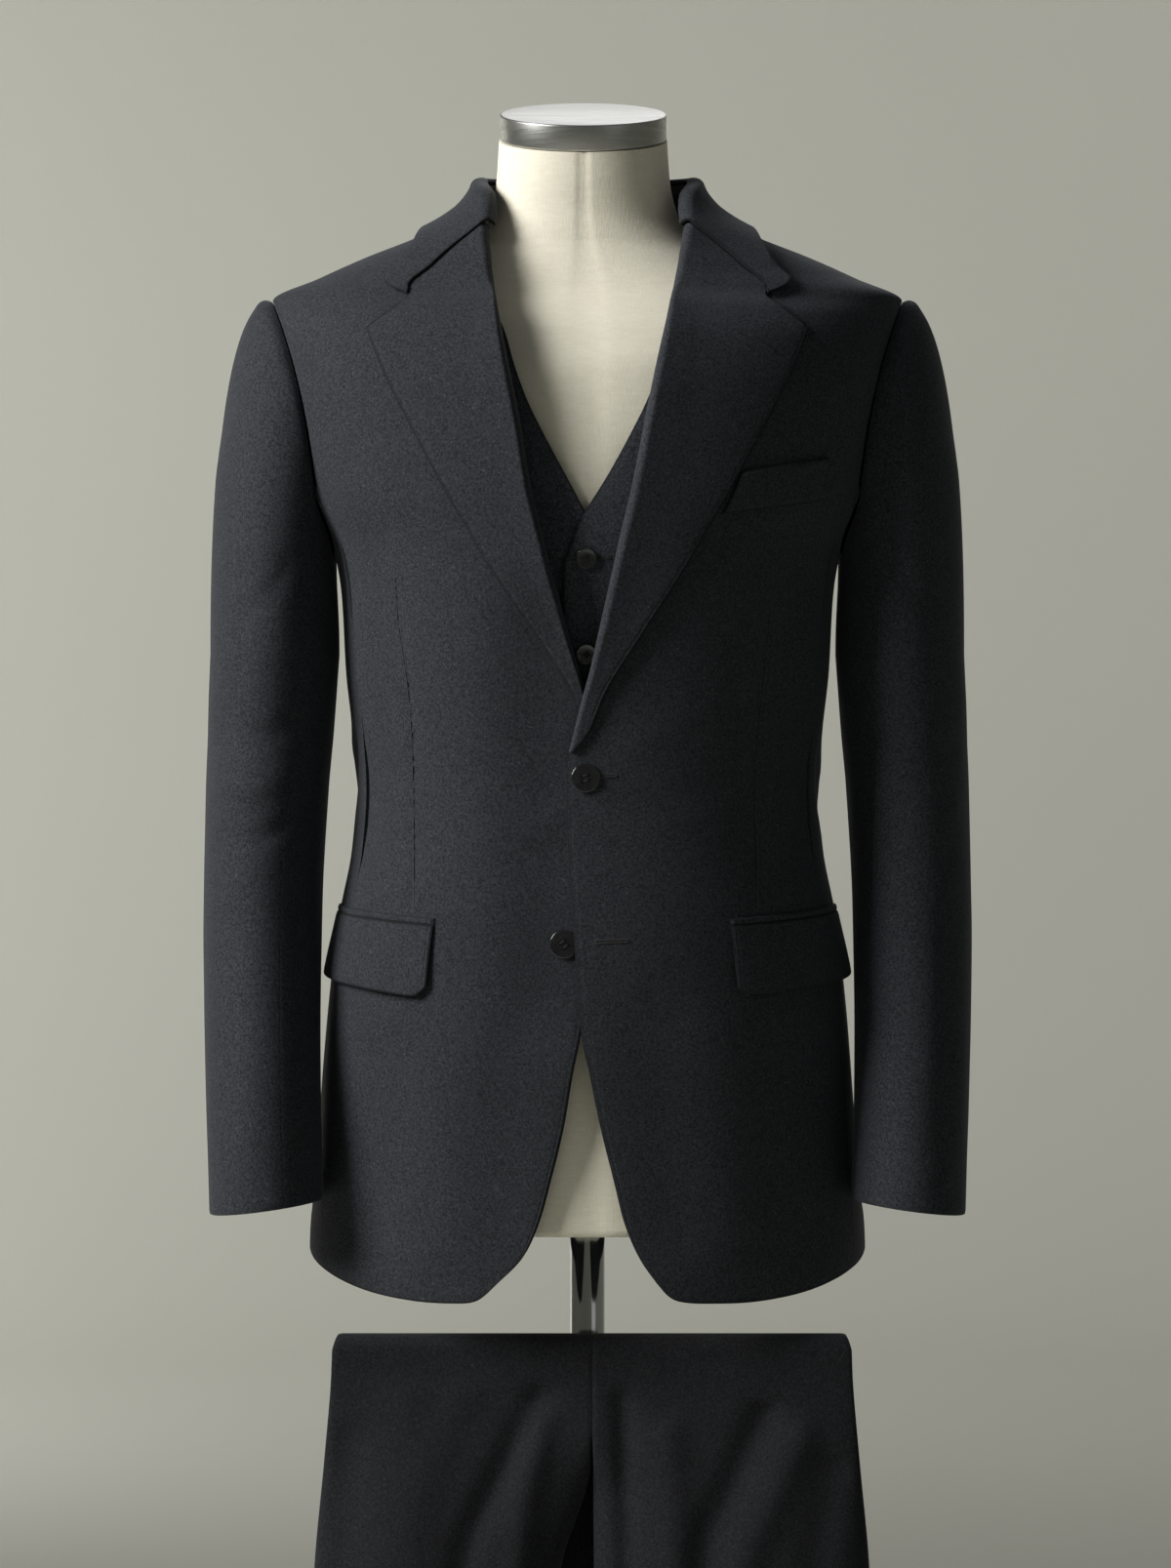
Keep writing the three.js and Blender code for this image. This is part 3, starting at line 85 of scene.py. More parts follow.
def valueAt(rows, column, at, key="z"):
    # smooth value of a table's column between its rows, with no overshoot
    x, y = np.asarray(rows[key], float), np.asarray(rows[column], float)
    at = np.clip(np.asarray(at, float), x[0], x[-1])
    slope = np.diff(y) / np.diff(x)
    tangent = np.zeros(len(x))
    tangent[0], tangent[-1] = slope[0], slope[-1]
    before, after = slope[:-1], slope[1:]
    same = before * after > 0
    tangent[1:-1][same] = 2 * before[same] * after[same] / (before + after)[same]
    i = np.clip(np.searchsorted(x, at, side="right") - 1, 0, len(x) - 2)
    h = x[i + 1] - x[i]
    s = (at - x[i]) / h
    rise = s * s * (3 - 2 * s)
    bend = s * (1 - s) ** 2 * tangent[i] - s * s * (1 - s) * tangent[i + 1]
    return y[i] * (1 - rise) + y[i + 1] * rise + h * bend


def smooth(low, high, at):
    s = np.clip((np.asarray(at, float) - low) / (high - low), 0, 1)
    return s * s * (3 - 2 * s)


def mix(a, b, share):
    return a + (b - a) * share


def power(value, exponent):
    return np.sign(value) * np.abs(value) ** exponent


def ringPoint(rows, angle, z):
    # a point of a body table at an angle from the front centre and a height
    angle, z = np.broadcast_arrays(np.radians(np.asarray(angle, float)), np.asarray(z, float))
    along, across = np.cos(angle), np.sin(angle)
    depth = np.where(along > 0, valueAt(rows, "front", z), valueAt(rows, "back", z))
    x = valueAt(rows, "wide", z) * power(across, 2 / squareness)
    y = valueAt(rows, "middle", z) - depth * power(along, 2 / squareness)
    return np.stack([x, y, z], -1)


def unit(vectors):
    return vectors / np.maximum(np.linalg.norm(vectors, axis=-1, keepdims=True), 1e-9)


def surfacePoint(rows, angle, z, out=0.0):
    # the same point moved out along the surface's own normal
    angle, z = np.asarray(angle, float), np.asarray(z, float)
    across = ringPoint(rows, angle + 1, z) - ringPoint(rows, angle - 1, z)
    along = ringPoint(rows, angle, z + 2) - ringPoint(rows, angle, z - 2)
    normal = unit(np.cross(across, along))
    return ringPoint(rows, angle, z) + normal * np.asarray(out, float)[..., None]


def angleOf(rows, x, z):
    # the angle at which a body table has a given X in front
    share = np.clip(np.asarray(x, float) / valueAt(rows, "wide", z), -1, 1)
    return np.degrees(np.arcsin(power(share, squareness / 2)))


def curveThrough(pairs):
    # a smooth curve through pairs, as a function of a share of its length
    knots = np.asarray(pairs, float)
    ends = np.concatenate([knots[:1], knots, knots[-1:]])
    t = np.linspace(0, len(knots) - 1, 60 * (len(knots) - 1) + 1)
    i = np.minimum(t.astype(int), len(knots) - 2)
    s = (t - i)[:, None]
    a, b, c, d = (ends[i + k] for k in range(4))
    line = 0.5 * (2 * b + (c - a) * s + (2 * a - 5 * b + 4 * c - d) * s**2 + (3 * b - a - 3 * c + d) * s**3)
    run = np.concatenate([[0], np.cumsum(np.linalg.norm(np.diff(line, axis=0), axis=1))])
    run /= run[-1]

    def at(share):
        return np.stack([np.interp(share, run, line[:, k]) for k in range(line.shape[1])], -1)
    return at


def chain(*parts):
    # curves end to end, each over its share of the whole
    def at(share):
        share = np.asarray(share, float)
        result, start = None, 0.0
        for part, curve in parts:
            piece = curve(np.clip((share - start) / part, 0, 1))
            result = piece if result is None else np.where((share > start + 1e-9)[..., None], piece, result)
            start += part
        return result
    return at


def straight(first, last):
    first, last = np.asarray(first, float), np.asarray(last, float)
    return lambda share: first + (last - first) * np.asarray(share, float)[..., None]


def patch(bottom, top, left, right):
    # a patch between four edges: bottom and top run with u, left and right with v
    a, b = bottom(np.array([0.0, 1.0])), top(np.array([0.0, 1.0]))

    def at(u, v):
        uu, vv = u[..., None], v[..., None]
        level = (1 - vv) * bottom(u) + vv * top(u)
        upright = (1 - uu) * left(v) + uu * right(v)
        low = (1 - uu) * a[0] + uu * a[1]
        high = (1 - uu) * b[0] + uu * b[1]
        return level + upright - (1 - vv) * low - vv * high
    return at


def endShares(count, tight=0.8):
    # shares from 0 to 1 that lie closer together at both ends
    t = np.linspace(0, 1, count + 1)
    return t - tight * np.sin(2 * np.pi * t) / (2 * np.pi)


def edgeDistances(points):
    # how far each grid point lies from the left, right, bottom and top edge, along the cloth
    across = np.linalg.norm(np.diff(points, axis=1), axis=2)
    left = np.concatenate([np.zeros((len(points), 1)), np.cumsum(across, axis=1)], axis=1)
    along = np.linalg.norm(np.diff(points, axis=0), axis=2)
    bottom = np.concatenate([np.zeros((1, points.shape[1])), np.cumsum(along, axis=0)], axis=0)
    return {"left": left, "right": left[:, -1:] - left, "bottom": bottom, "top": bottom[-1:] - bottom}


def bump(distance, width):
    return np.exp(-((np.asarray(distance, float) / width) ** 2))


def ridge(x, z, line, width, height, fade=0.18):
    # a soft fold along a line of (x, z) points; a negative height makes a trough
    curve = curveThrough(line)(np.linspace(0, 1, 60))
    best = np.full(x.shape, 1e9)
    share = np.zeros(x.shape)
    for k, (cx, cz) in enumerate(curve):
        gap = np.hypot(x - cx, z - cz)
        closer = gap < best
        best = np.where(closer, gap, best)
        share = np.where(closer, k / 59, share)
    ends = smooth(0, fade, share) * smooth(0, fade, 1 - share)
    return height * bump(best, width) * ends


class Wire:
    # a socket of a material, so that shader maths reads as plain sums
    def __init__(self, tree, socket=None):
        self.tree = tree
        self.socket = socket

    def node(self, kind, inputs=None, settings=None, output=0):
        made = self.tree.nodes.new("ShaderNode" + kind)
        for name, value in (settings or {}).items():
            if name == "stops":
                elements = made.color_ramp.elements
                while len(elements) < len(value):
                    elements.new(0.5)
                for element, (place, shade) in zip(elements, value):
                    element.position = place
                    element.color = (*shade, 1)
            else:
                setattr(made, name, value)
        for name, value in (inputs or {}).items():
            if isinstance(value, Wire):
                self.tree.links.new(value.socket, made.inputs[name])
            else:
                made.inputs[name].default_value = value
        return Wire(self.tree, made.outputs[output])

    def sum(self, operation, first, second):
        return self.node("Math", {0: first, 1: second}, {"operation": operation})

    def __add__(self, other):
        return self.sum("ADD", self, other)

    def __rsub__(self, other):
        return self.sum("SUBTRACT", other, self)

    def __mul__(self, other):
        return self.sum("MULTIPLY", self, other)

    def span(self, low, high, toLow=0.0, toHigh=1.0):
        values = {"Value": self, "From Min": low, "From Max": high, "To Min": toLow, "To Max": toHigh}
        return self.node("MapRange", values)

    def noise(self, where, scale, detail=3.0, rough=0.55):
        values = {"Vector": where, "Scale": scale, "Detail": detail, "Roughness": rough}
        return self.node("TexNoise", values, {"noise_dimensions": "3D"}, "Fac")

    def stretched(self, where, scale):
        return self.node("Mapping", {"Vector": where, "Scale": scale})

    def blend(self, share, first, second):
        # a mix of two colours, each a wire or a fixed red, green and blue
        made = self.tree.nodes.new("ShaderNodeMix")
        made.data_type = "RGBA"
        sockets = (made.inputs[0], made.inputs[6], made.inputs[7])
        for socket, value in zip(sockets, (share, first, second)):
            if isinstance(value, Wire):
                self.tree.links.new(value.socket, socket)
            else:
                socket.default_value = (*value, 1)
        return Wire(self.tree, made.outputs[2])


def newFinish(name, constants):
    # a material with one Principled shader whose fixed values are set on it
    finish = bpy.data.materials.new(name)
    finish.use_nodes = True
    shader = finish.node_tree.nodes["Principled BSDF"]
    for socket, value in constants.items():
        shader.inputs[socket].default_value = value
    return finish, shader, Wire(finish.node_tree)


def plug(wire, shader, socket):
    wire.tree.links.new(wire.socket, shader.inputs[socket])


woolLook = {
    "dark": (0.0046, 0.0050, 0.0062),
    "light": (0.042, 0.0455, 0.055),
    "fleck": (0.10, 0.105, 0.115),
    "grain": 640,
    "cloud": 60,
    "twill": 620,
    "bump": 0.35,
    "sheen": 0.10,
    "sheenTint": (0.72, 0.76, 0.86, 1),
    # the last two: how strongly and how dark the painted shade line along chosen edges is drawn
    "edge": 0.85,
    "edgeShadeDark": 0.1,
}
canvasLook = {
    "pale": (0.86, 0.825, 0.69), "deep": (0.76, 0.72, 0.59), "thread": 1100, "slub": 150, "bump": 0.3,
}
steelLook = {"pale": (0.62, 0.62, 0.60), "deep": (0.42, 0.42, 0.41), "streak": 2600, "rough": (0.24, 0.40)}
chromeLook = {"pale": (0.66, 0.66, 0.67), "rough": (0.05, 0.14), "smudge": 26}
hornLook = {
    "dark": (0.006, 0.006, 0.008), "light": (0.012, 0.012, 0.014), "streak": 240, "rough": (0.16, 0.26),
}
threadLook = {"dark": (0.002, 0.002, 0.003), "light": (0.008, 0.009, 0.011), "twist": 1500}
# near-black for the dark strips of painted shade in buttonhole slits and dart folds
shadowLook = {"dark": (0.002, 0.002, 0.003), "light": (0.005, 0.005, 0.006), "twist": 900}


def woolFinish(name, look, tone=1.0):
    # fine charcoal wool: dark and pale fibres mixed, a faint twill line, a soft nap
    finish, shader, wire = newFinish(name, {
        "Sheen Weight": look["sheen"], "Sheen Roughness": 0.42, "Specular IOR Level": 0.22,
        "Sheen Tint": look["sheenTint"],
    })
    where = wire.node("TexCoord", output="Object")
    fibre = wire.noise(where, look["grain"], 4.0, 0.7)
    second = wire.noise(wire.stretched(where, (1.0, 1.0, 0.45)), look["grain"] * 1.7, 2.0)
    cloud = wire.noise(where, look["cloud"], 3.0)
    bands = {"Vector": where, "Scale": look["twill"], "Distortion": 0.6, "Detail": 1.0}
    twill = wire.node("TexWave", bands, {"wave_type": "BANDS", "bands_direction": "DIAGONAL"}, "Fac")
    share = fibre.span(0.40, 0.62) * 0.6 + second.span(0.38, 0.64) * 0.25 + twill * 0.08 + cloud * 0.14
    dark = tuple(c * tone for c in look["dark"])
    light = tuple(c * tone for c in look["light"])
    cloth = wire.blend(share, dark, light)
    flecks = wire.noise(where, look["grain"] * 0.8, 2.0).span(0.66, 0.74)
    cloth = wire.blend(flecks * 0.5, cloth, tuple(c * tone for c in look["fleck"]))
    # painted shade: the cloth is darkened in a thin line along chosen edges and seams, a drawn contour shadow
    pressed = wire.node("Attribute", settings={"attribute_name": "pressed"}, output="Fac")
    cloth = wire.blend(pressed * look["edge"], cloth, tuple(c * look["edgeShadeDark"] for c in look["dark"]))
    plug(cloth, shader, "Base Color")
    plug(0.94 - fibre * 0.16, shader, "Roughness")
    height = fibre * 0.6 + second * 0.25 + twill * 0.35
    relief = wire.node("Bump", {"Strength": look["bump"], "Distance": 0.0004, "Height": height})
    plug(relief, shader, "Normal")
    return finish


def canvasFinish(name, look):
    # cream linen canvas: crossing threads with thicker slubs here and there
    finish, shader, wire = newFinish(name, {"Sheen Weight": 0.08, "Specular IOR Level": 0.3})
    where = wire.node("TexCoord", output="Object")
    warp = wire.noise(wire.stretched(where, (1.0, 1.0, 0.12)), look["thread"], 2.0)
    weft = wire.noise(wire.stretched(where, (0.12, 0.12, 1.0)), look["thread"], 2.0)
    slub = wire.noise(wire.stretched(where, (0.5, 0.5, 2.0)), look["slub"], 3.0)
    share = warp.span(0.35, 0.65) * 0.35 + weft.span(0.35, 0.65) * 0.35 + slub.span(0.4, 0.7) * 0.3
    plug(wire.blend(share, look["deep"], look["pale"]), shader, "Base Color")
    plug(0.95 - share * 0.15, shader, "Roughness")
    relief = wire.node("Bump", {"Strength": look["bump"], "Distance": 0.0004, "Height": warp + weft + slub})
    plug(relief, shader, "Normal")
    return finish


def steelFinish(name, look, direction):
    # brushed steel: fine streaks that run along the given direction
    finish, shader, wire = newFinish(name, {"Metallic": 1.0})
    where = wire.node("TexCoord", output="Object")
    streaks = wire.noise(wire.stretched(where, direction), look["streak"], 3.0)
    broad = wire.noise(wire.stretched(where, direction), look["streak"] * 0.16, 2.0)
    share = streaks.span(0.3, 0.7) * 0.6 + broad.span(0.35, 0.65) * 0.4
    plug(wire.blend(share, look["deep"], look["pale"]), shader, "Base Color")
    low, high = look["rough"]
    plug(share * (low - high) + high, shader, "Roughness")
    relief = wire.node("Bump", {"Strength": 0.12, "Distance": 0.0001, "Height": streaks})
    plug(relief, shader, "Normal")
    return finish


def chromeFinish(name, look):
    finish, shader, wire = newFinish(name, {"Metallic": 1.0})
    where = wire.node("TexCoord", output="Object")
    smudge = wire.noise(where, look["smudge"], 4.0).span(0.35, 0.75)
    plug(wire.blend(smudge, look["pale"], tuple(c * 0.9 for c in look["pale"])), shader, "Base Color")
    low, high = look["rough"]
    plug(smudge * (high - low) + low, shader, "Roughness")
    return finish


def hornFinish(name, look):
    finish, shader, wire = newFinish(name, {"Coat Weight": 1.0, "Coat Roughness": 0.07})
    where = wire.node("TexCoord", output="Object")
    streak = wire.noise(wire.stretched(where, (1.0, 1.0, 0.3)), look["streak"], 4.0).span(0.35, 0.7)
    plug(wire.blend(streak, look["dark"], look["light"]), shader, "Base Color")
    low, high = look["rough"]
    plug(streak * (high - low) + low, shader, "Roughness")
    relief = wire.node("Bump", {"Strength": 0.06, "Distance": 0.0001, "Height": streak})
    plug(relief, shader, "Normal")
    return finish


def threadFinish(name, look):
    finish, shader, wire = newFinish(name, {"Sheen Weight": 0.15})
    where = wire.node("TexCoord", output="Object")
    twist = wire.noise(where, look["twist"], 2.0)
    plug(wire.blend(twist.span(0.35, 0.65), look["dark"], look["light"]), shader, "Base Color")
    plug(0.8 - twist * 0.25, shader, "Roughness")
    relief = wire.node("Bump", {"Strength": 0.3, "Distance": 0.0003, "Height": twist})
    plug(relief, shader, "Normal")
    return finish


suitWool = woolFinish("suitWool", woolLook)
# painted light: the waistcoat's wool is the suit's wool painted 1.6 times lighter, to make up for the lapels'
# shadow on it
vestWoolPaintedLight = woolFinish("waistcoatWoolPaintedLight", woolLook, 1.6)
# painted shade: the trousers' wool is the suit's wool painted at 0.45 of its tone, for the dimmer light low
# down
trouserWool = woolFinish("trouserWool", woolLook, 0.45)
formCanvas = canvasFinish("formCanvas", canvasLook)
brushedTop = steelFinish("brushedSteelTurned", steelLook, (0.02, 1.0, 1.0))
brushedSide = steelFinish("brushedSteelLevel", steelLook, (0.02, 0.02, 1.0))
chromeSteel = chromeFinish("chromeSteel", chromeLook)
buttonHorn = hornFinish("buttonHorn", hornLook)
sewingThread = threadFinish("sewingThread", threadLook)
# this finish is no real thread: its strips are painted shade in the slits and along the darts
shadowThread = threadFinish("shadowThread", shadowLook)
print("finishes made")


def finishMesh(name, points, faces, finish, crease=48):
    # one smooth-shaded object at the origin, its place in its mesh
    mesh = bpy.data.meshes.new(name)
    mesh.from_pydata((np.asarray(points) * mm).tolist(), [], faces)
    mesh.polygons.foreach_set("use_smooth", [True] * len(mesh.polygons))
    mesh.update()
    mesh.set_sharp_from_angle(angle=math.radians(crease))
    mesh.materials.append(finish)
    piece = bpy.data.objects.new(name, mesh)
    bpy.context.collection.objects.link(piece)
    return piece


def gridFaces(rows, columns, start=0):
    index = start + np.arange(rows * columns).reshape(rows, columns)
    quads = np.stack([index[:-1, :-1], index[:-1, 1:], index[1:, 1:], index[1:, :-1]], -1)
    return quads.reshape(-1, 4)


evenRounds = 24


def gridNormals(points):
    # a very skewed cell takes its normal from the cells round it
    normals = np.cross(unit(np.gradient(points, axis=1)), unit(np.gradient(points, axis=0)))
    square = np.linalg.norm(normals, axis=-1, keepdims=True)
    even = normals * square
    for _ in range(evenRounds):
        wide = np.pad(even, ((1, 1), (1, 1), (0, 0)), "edge")
        even = (wide[:-2, 1:-1] + wide[2:, 1:-1] + wide[1:-1, :-2] + wide[1:-1, 2:]) / 4
    return unit(mix(unit(even), unit(normals), smooth(0.25, 0.6, square)))


def pressedLine(points, edges, width):
    # painted shade: 1 on the named edges and on the rim, fading over the given width
    distances = edgeDistances(points)
    line = np.zeros(points.shape[:2])
    for edge in edges:
        line = np.maximum(line, bump(distances[edge], width))
    return line


def rimLoop(rows, columns):
    # the places of a grid's edge points, once round
    index = np.arange(rows * columns).reshape(rows, columns)
    return np.concatenate([index[0, :-1], index[:-1, -1], index[-1, :0:-1], index[:0:-1, 0]])


def shellMesh(outer, inner, roundness=0.3):
    # closed cloth between two grids, with a rounded rim
    rows, columns = outer.shape[:2]
    count = rows * columns
    loop = rimLoop(rows, columns)
    away = np.zeros_like(outer)
    away[0] += unit(outer[0] - outer[1])
    away[-1] += unit(outer[-1] - outer[-2])
    away[:, 0] += unit(outer[:, 0] - outer[:, 1])
    away[:, -1] += unit(outer[:, -1] - outer[:, -2])
    flatOuter, flatInner = outer.reshape(-1, 3), inner.reshape(-1, 3)
    wall = np.linalg.norm(flatOuter[loop] - flatInner[loop], axis=1, keepdims=True)
    rim = (flatOuter[loop] + flatInner[loop]) / 2 + unit(away.reshape(-1, 3)[loop]) * wall * roundness
    points = np.concatenate([flatOuter, flatInner, rim])
    front = gridFaces(rows, columns)
    back = gridFaces(rows, columns, count)[:, ::-1]
    a, b = loop, np.roll(loop, -1)
    m = 2 * count + np.arange(len(loop))
    n = np.roll(m, -1)
    rimFaces = np.concatenate([np.stack([b, a, m, n], -1), np.stack([n, m, a + count, b + count], -1)])
    return points, np.concatenate([front, back, rimFaces])


def clothPiece(name, node, outer, wall, finish, cut, restsOn=(), mirrored=False,
               shadedEdges=(), wide=1.3):
    # a thin closed shell of cloth that stands for its solid, with the size it was cut to and the
    # share of that rectangle it fills; along the listed edges a thin dark line of painted shade is drawn
    inner = outer - gridNormals(outer) * wall
    points, faces = shellMesh(outer, inner)
    line = pressedLine(outer, shadedEdges, wide)
    if mirrored:
        points = points * flips["right"]
        faces = faces[:, ::-1]
    piece = finishMesh(name, points, faces.tolist(), finish)
    rim = line.ravel()[rimLoop(*line.shape)]
    pressed = piece.data.attributes.new("pressed", "FLOAT", "POINT")
    pressed.data.foreach_set("value", np.concatenate([line.ravel(), line.ravel(), rim]))
    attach(piece, "root")
    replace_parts(piece, *node.split())
    width, length, share = cut
    width * length * share * mm * mm
    return piece


def seamSink(points, edges, depth=0.5, width=1.6):
    # the cloth rolls down into a seam along the named edges
    distances = edgeDistances(points)
    sink = np.zeros(points.shape[:2])
    for edge in edges:
        sink = np.maximum(sink, bump(distances[edge], width))
    return depth * sink


def edgeStitch(points, edges, inset=2.8, depth=0.28, width=0.8, drop=2.2, dropWidth=1.1):
    # a row of fine stitches drawn into the cloth beside an edge, which itself drops a little
    distances = edgeDistances(points)
    drawn = np.zeros(points.shape[:2])
    for edge in edges:
        drawn = np.maximum(drawn, bump(distances[edge] - inset, width))
        drawn = np.maximum(drawn, drop * bump(distances[edge], dropWidth))
    return depth * drawn


def bodyCloth(rows, place, columns, levels, lift):
    # a fine grid on a body table: lift(angle, z, base) says how far each point stands out
    u, v = np.meshgrid(endShares(columns), endShares(levels))
    lie = place(u, v)
    angle, z = lie[..., 0], lie[..., 1]
    base = surfacePoint(rows, angle, z)
    return surfacePoint(rows, angle, z, lift(angle, z, base))


# the jacket's front edges from the hem's corner to the break, then the roll lines above it
frontEdge = {
    "z": (972, 989, 1012, 1042, 1077, 1112, 1147, 1213, 1263, 1314, 1332),
    "left": (47, 35.4, 25.6, 18, 9.2, 2, -4.6, -9.2, -13, -14.4, -12.5),
    "right": (61, 44.5, 33.5, 25, 16.5, 10.5, 3.5, -8, -11, -12, -11),
}
rollLine = {
    "z": (1332, 1346, 1376, 1415, 1464, 1509, 1552, 1592, 1624, 1640, 1650, 1660, 1669, 1677, 1686, 1694),
    "left": (-12.5, -9, -1.3, 8, 19, 29.5, 38, 46, 53, 56.4, 58.6, 60.6, 62.3, 63.6, 65, 66),
    "right": (-11, -6, 3, 14, 27, 38, 45, 53, 59, 61.8, 63.4, 64.8, 65.8, 66.6, 67.2, 67.5),
    "outer": (-9.5, 2, 15, 39.5, 70, 96, 119, 139, 149, 149, 149, 149, 149, 149, 149, 149),
}
hemRows = {"angle": (20, 32, 50, 70, 90, 115, 180), "z": (957.5, 958, 964, 976, 985, 984, 982)}
armhole = {"z": 1558, "radius": 88, "front": 23, "back": 30, "cut": 1.2, "backExtra": 0.8}
jacket = {
    "wall": 1.9, "frontSeam": 70, "backSeam": 115, "seam": 0.005, "seamShare": 14 / 22,
    "shoulder": 92, "neck": 1701, "rollInset": 3, "edgeShare": 0.5, "neckShare": 0.32, "backNeckShare": 0.4,
    "corner": (14, 960), "hemTurns": (26, 36, 50, 70), "underStart": 66, "underEnd": 74,
    "frontNeck": [[52, 1699], [72, 1701]], "backNeck": [[125, 1702], [155, 1701]],
    "frontShoulder": [[91.5, 1676], [91, 1660]], "backShoulder": [[91.6, 1660], [92.4, 1676]],
}
frontSeamTurn = math.degrees(math.pi - math.asin((90 - jacket["frontSeam"]) / armhole["front"]))
backSeamTurn = math.degrees(math.pi - math.asin((jacket["backSeam"] - 90) / armhole["back"]))


def hemAt(angle):
    return valueAt(hemRows, "z", angle, "angle")


def armholeEdge(turn, front):
    # the armhole's loop round the side; turn is 0 at the shoulder tip and 180 under the arm
    turn = np.radians(np.asarray(turn, float))
    swing = armhole["front"] if front else -armhole["back"]
    away = -1 if front else 1 + armhole["backExtra"]
    sideways = np.degrees(away * armhole["cut"] * np.sin(turn) / 200)
    lower = np.where(turn > math.pi / 2, armhole["cut"] * np.cos(turn), 0)
    z = armhole["z"] + armhole["radius"] * np.cos(turn) + lower
    return np.stack([90 - swing * np.sin(turn) + sideways, z], -1)


def lie(rows, x, z):
    return [float(angleOf(rows, x, z)), z]


def frontPlace(side):
    seamAt = jacket["frontSeam"] - jacket["seam"]
    edge = [lie(jacketRows, x, z) for x, z in zip(frontEdge[side], frontEdge["z"])]
    inset = [0] + [jacket["rollInset"]] * (len(rollLine["z"]) - 1)
    roll = [lie(jacketRows, x + i, z) for x, z, i in zip(rollLine[side], rollLine["z"], inset)]
    inward, low = jacket["corner"]
    corner = [lie(jacketRows, frontEdge[side][0] + inward, low)]
    hem = [[angle, float(hemAt(angle))] for angle in jacket["hemTurns"]]
    bottom = curveThrough([edge[0]] + corner + hem)
    share = jacket["edgeShare"]
    left = chain((share, curveThrough(edge)), (1 - share, curveThrough(roll)))
    neckPoint = [jacket["shoulder"] - jacket["seam"], jacket["neck"]]
    neck = curveThrough([roll[-1]] + jacket["frontNeck"] + [neckPoint])
    shoulder = curveThrough([neckPoint] + jacket["frontShoulder"] + [armholeEdge(0, True)])
    seamTop = float(armholeEdge(frontSeamTurn, True)[1])
    seam = straight([seamAt, float(hemAt(jacket["frontSeam"]))], [seamAt, seamTop])
    right = chain(
        (jacket["seamShare"], seam),
        (1 - jacket["seamShare"], lambda at: armholeEdge(frontSeamTurn * (1 - at), True)),
    )
    share = jacket["neckShare"]
    return patch(bottom, chain((share, neck), (1 - share, shoulder)), left, right)


underlapRows = {"z": (1120, 1190, 1400, 1460), "dip": (0, 6.5, 6.5, 0)}
underlapReach = (20, 80)


def rightDip(x, z):
    # the right front dips under the left one along the overlap
    return -valueAt(underlapRows, "dip", z) * (1 - smooth(*underlapReach, x))


# soft forms of each front: darts, the drape from the chest, the draw of the closed button
frontLook = {
    "stitchTop": 1336,
    "dartLeft": ((127, 1457), (122, 1400), (116, 1340), (114, 1300), (116, 1220)),
    "dartRight": ((131, 1456), (129, 1420), (122, 1372), (119, 1320), (118, 1222)),
    "dartWidth": 3.2,
    "dartDepth": 1.1,
    "hollowWidth": 18,
    "hollowDepth": 1.6,
    "folds": {
        "left": (
            ((150, 1500), (138, 1400), (146, 1310), (150, 1240), 17, -2.0),
            ((176, 1500), (160, 1420), (152, 1360), (150, 1320), 12, 1.6),
            ((90, 1180), (96, 1100), (100, 1030), (104, 965), 26, 1.8),
            ((140, 1150), (146, 1080), (150, 1010), (154, 970), 20, -1.8),
            ((8, 1300), (40, 1296), (76, 1306), (104, 1318), 8, -0.9),
            ((10, 1326), (44, 1340), (78, 1358), (106, 1368), 10, 0.8),
            ((40, 1180), (46, 1110), (56, 1040), (66, 975), 24, -1.4),
        ),
        "right": (
            ((148, 1506), (140, 1410), (148, 1316), (152, 1236), 18, -2.3),
            ((172, 1496), (158, 1416), (154, 1350), (148, 1318), 12, 1.4),
            ((84, 1176), (92, 1096), (94, 1026), (98, 962), 25, 1.5),
            ((134, 1152), (140, 1076), (146, 1008), (148, 970), 22, -2.0),
            ((8, 1304), (38, 1304), (72, 1312), (98, 1326), 8, -0.8),
            ((12, 1288), (44, 1276), (76, 1270), (100, 1262), 9, 0.8),
            ((44, 1176), (50, 1106), (58, 1036), (66, 975), 24, -1.2),
        ),
    },
}


def frontLift(side):
    look = frontLook
    dart = look["dartLeft" if side == "left" else "dartRight"]

    def lift(angle, z, base):
        x = base[..., 0]
        out = np.zeros(x.shape)
        for *line, width, height in look["folds"][side]:
            out += ridge(x, z, line, width, height)
        out += ridge(x, z, dart, look["dartWidth"], -look["dartDepth"], 0.08)
        out += ridge(x, z, dart, look["hollowWidth"], -look["hollowDepth"], 0.3)
        out -= seamSink(base, ("right",), 0.06, 0.6) * smooth(1640, 1600, z)
        out -= seamSink(base, ("top",))
        out -= edgeStitch(base, ("left",)) * (z < look["stitchTop"])
        out -= edgeStitch(base, ("bottom",))
        if side == "right":
            out += rightDip(x, z)
        return out
    return lift


fronts = {}
for side in ("left", "right"):
    fronts[side] = bodyCloth(jacketRows, frontPlace(side), 72, 190, frontLift(side))
    clothPiece(
        "jacketFront" + side.title(), "jacket_front_" + side, fronts[side], jacket["wall"], suitWool,
        (280, 790, 0.73), restsOn=("form_torso",), mirrored=side == "right", shadedEdges=("left", "bottom"),
    )
print("jacket fronts made")

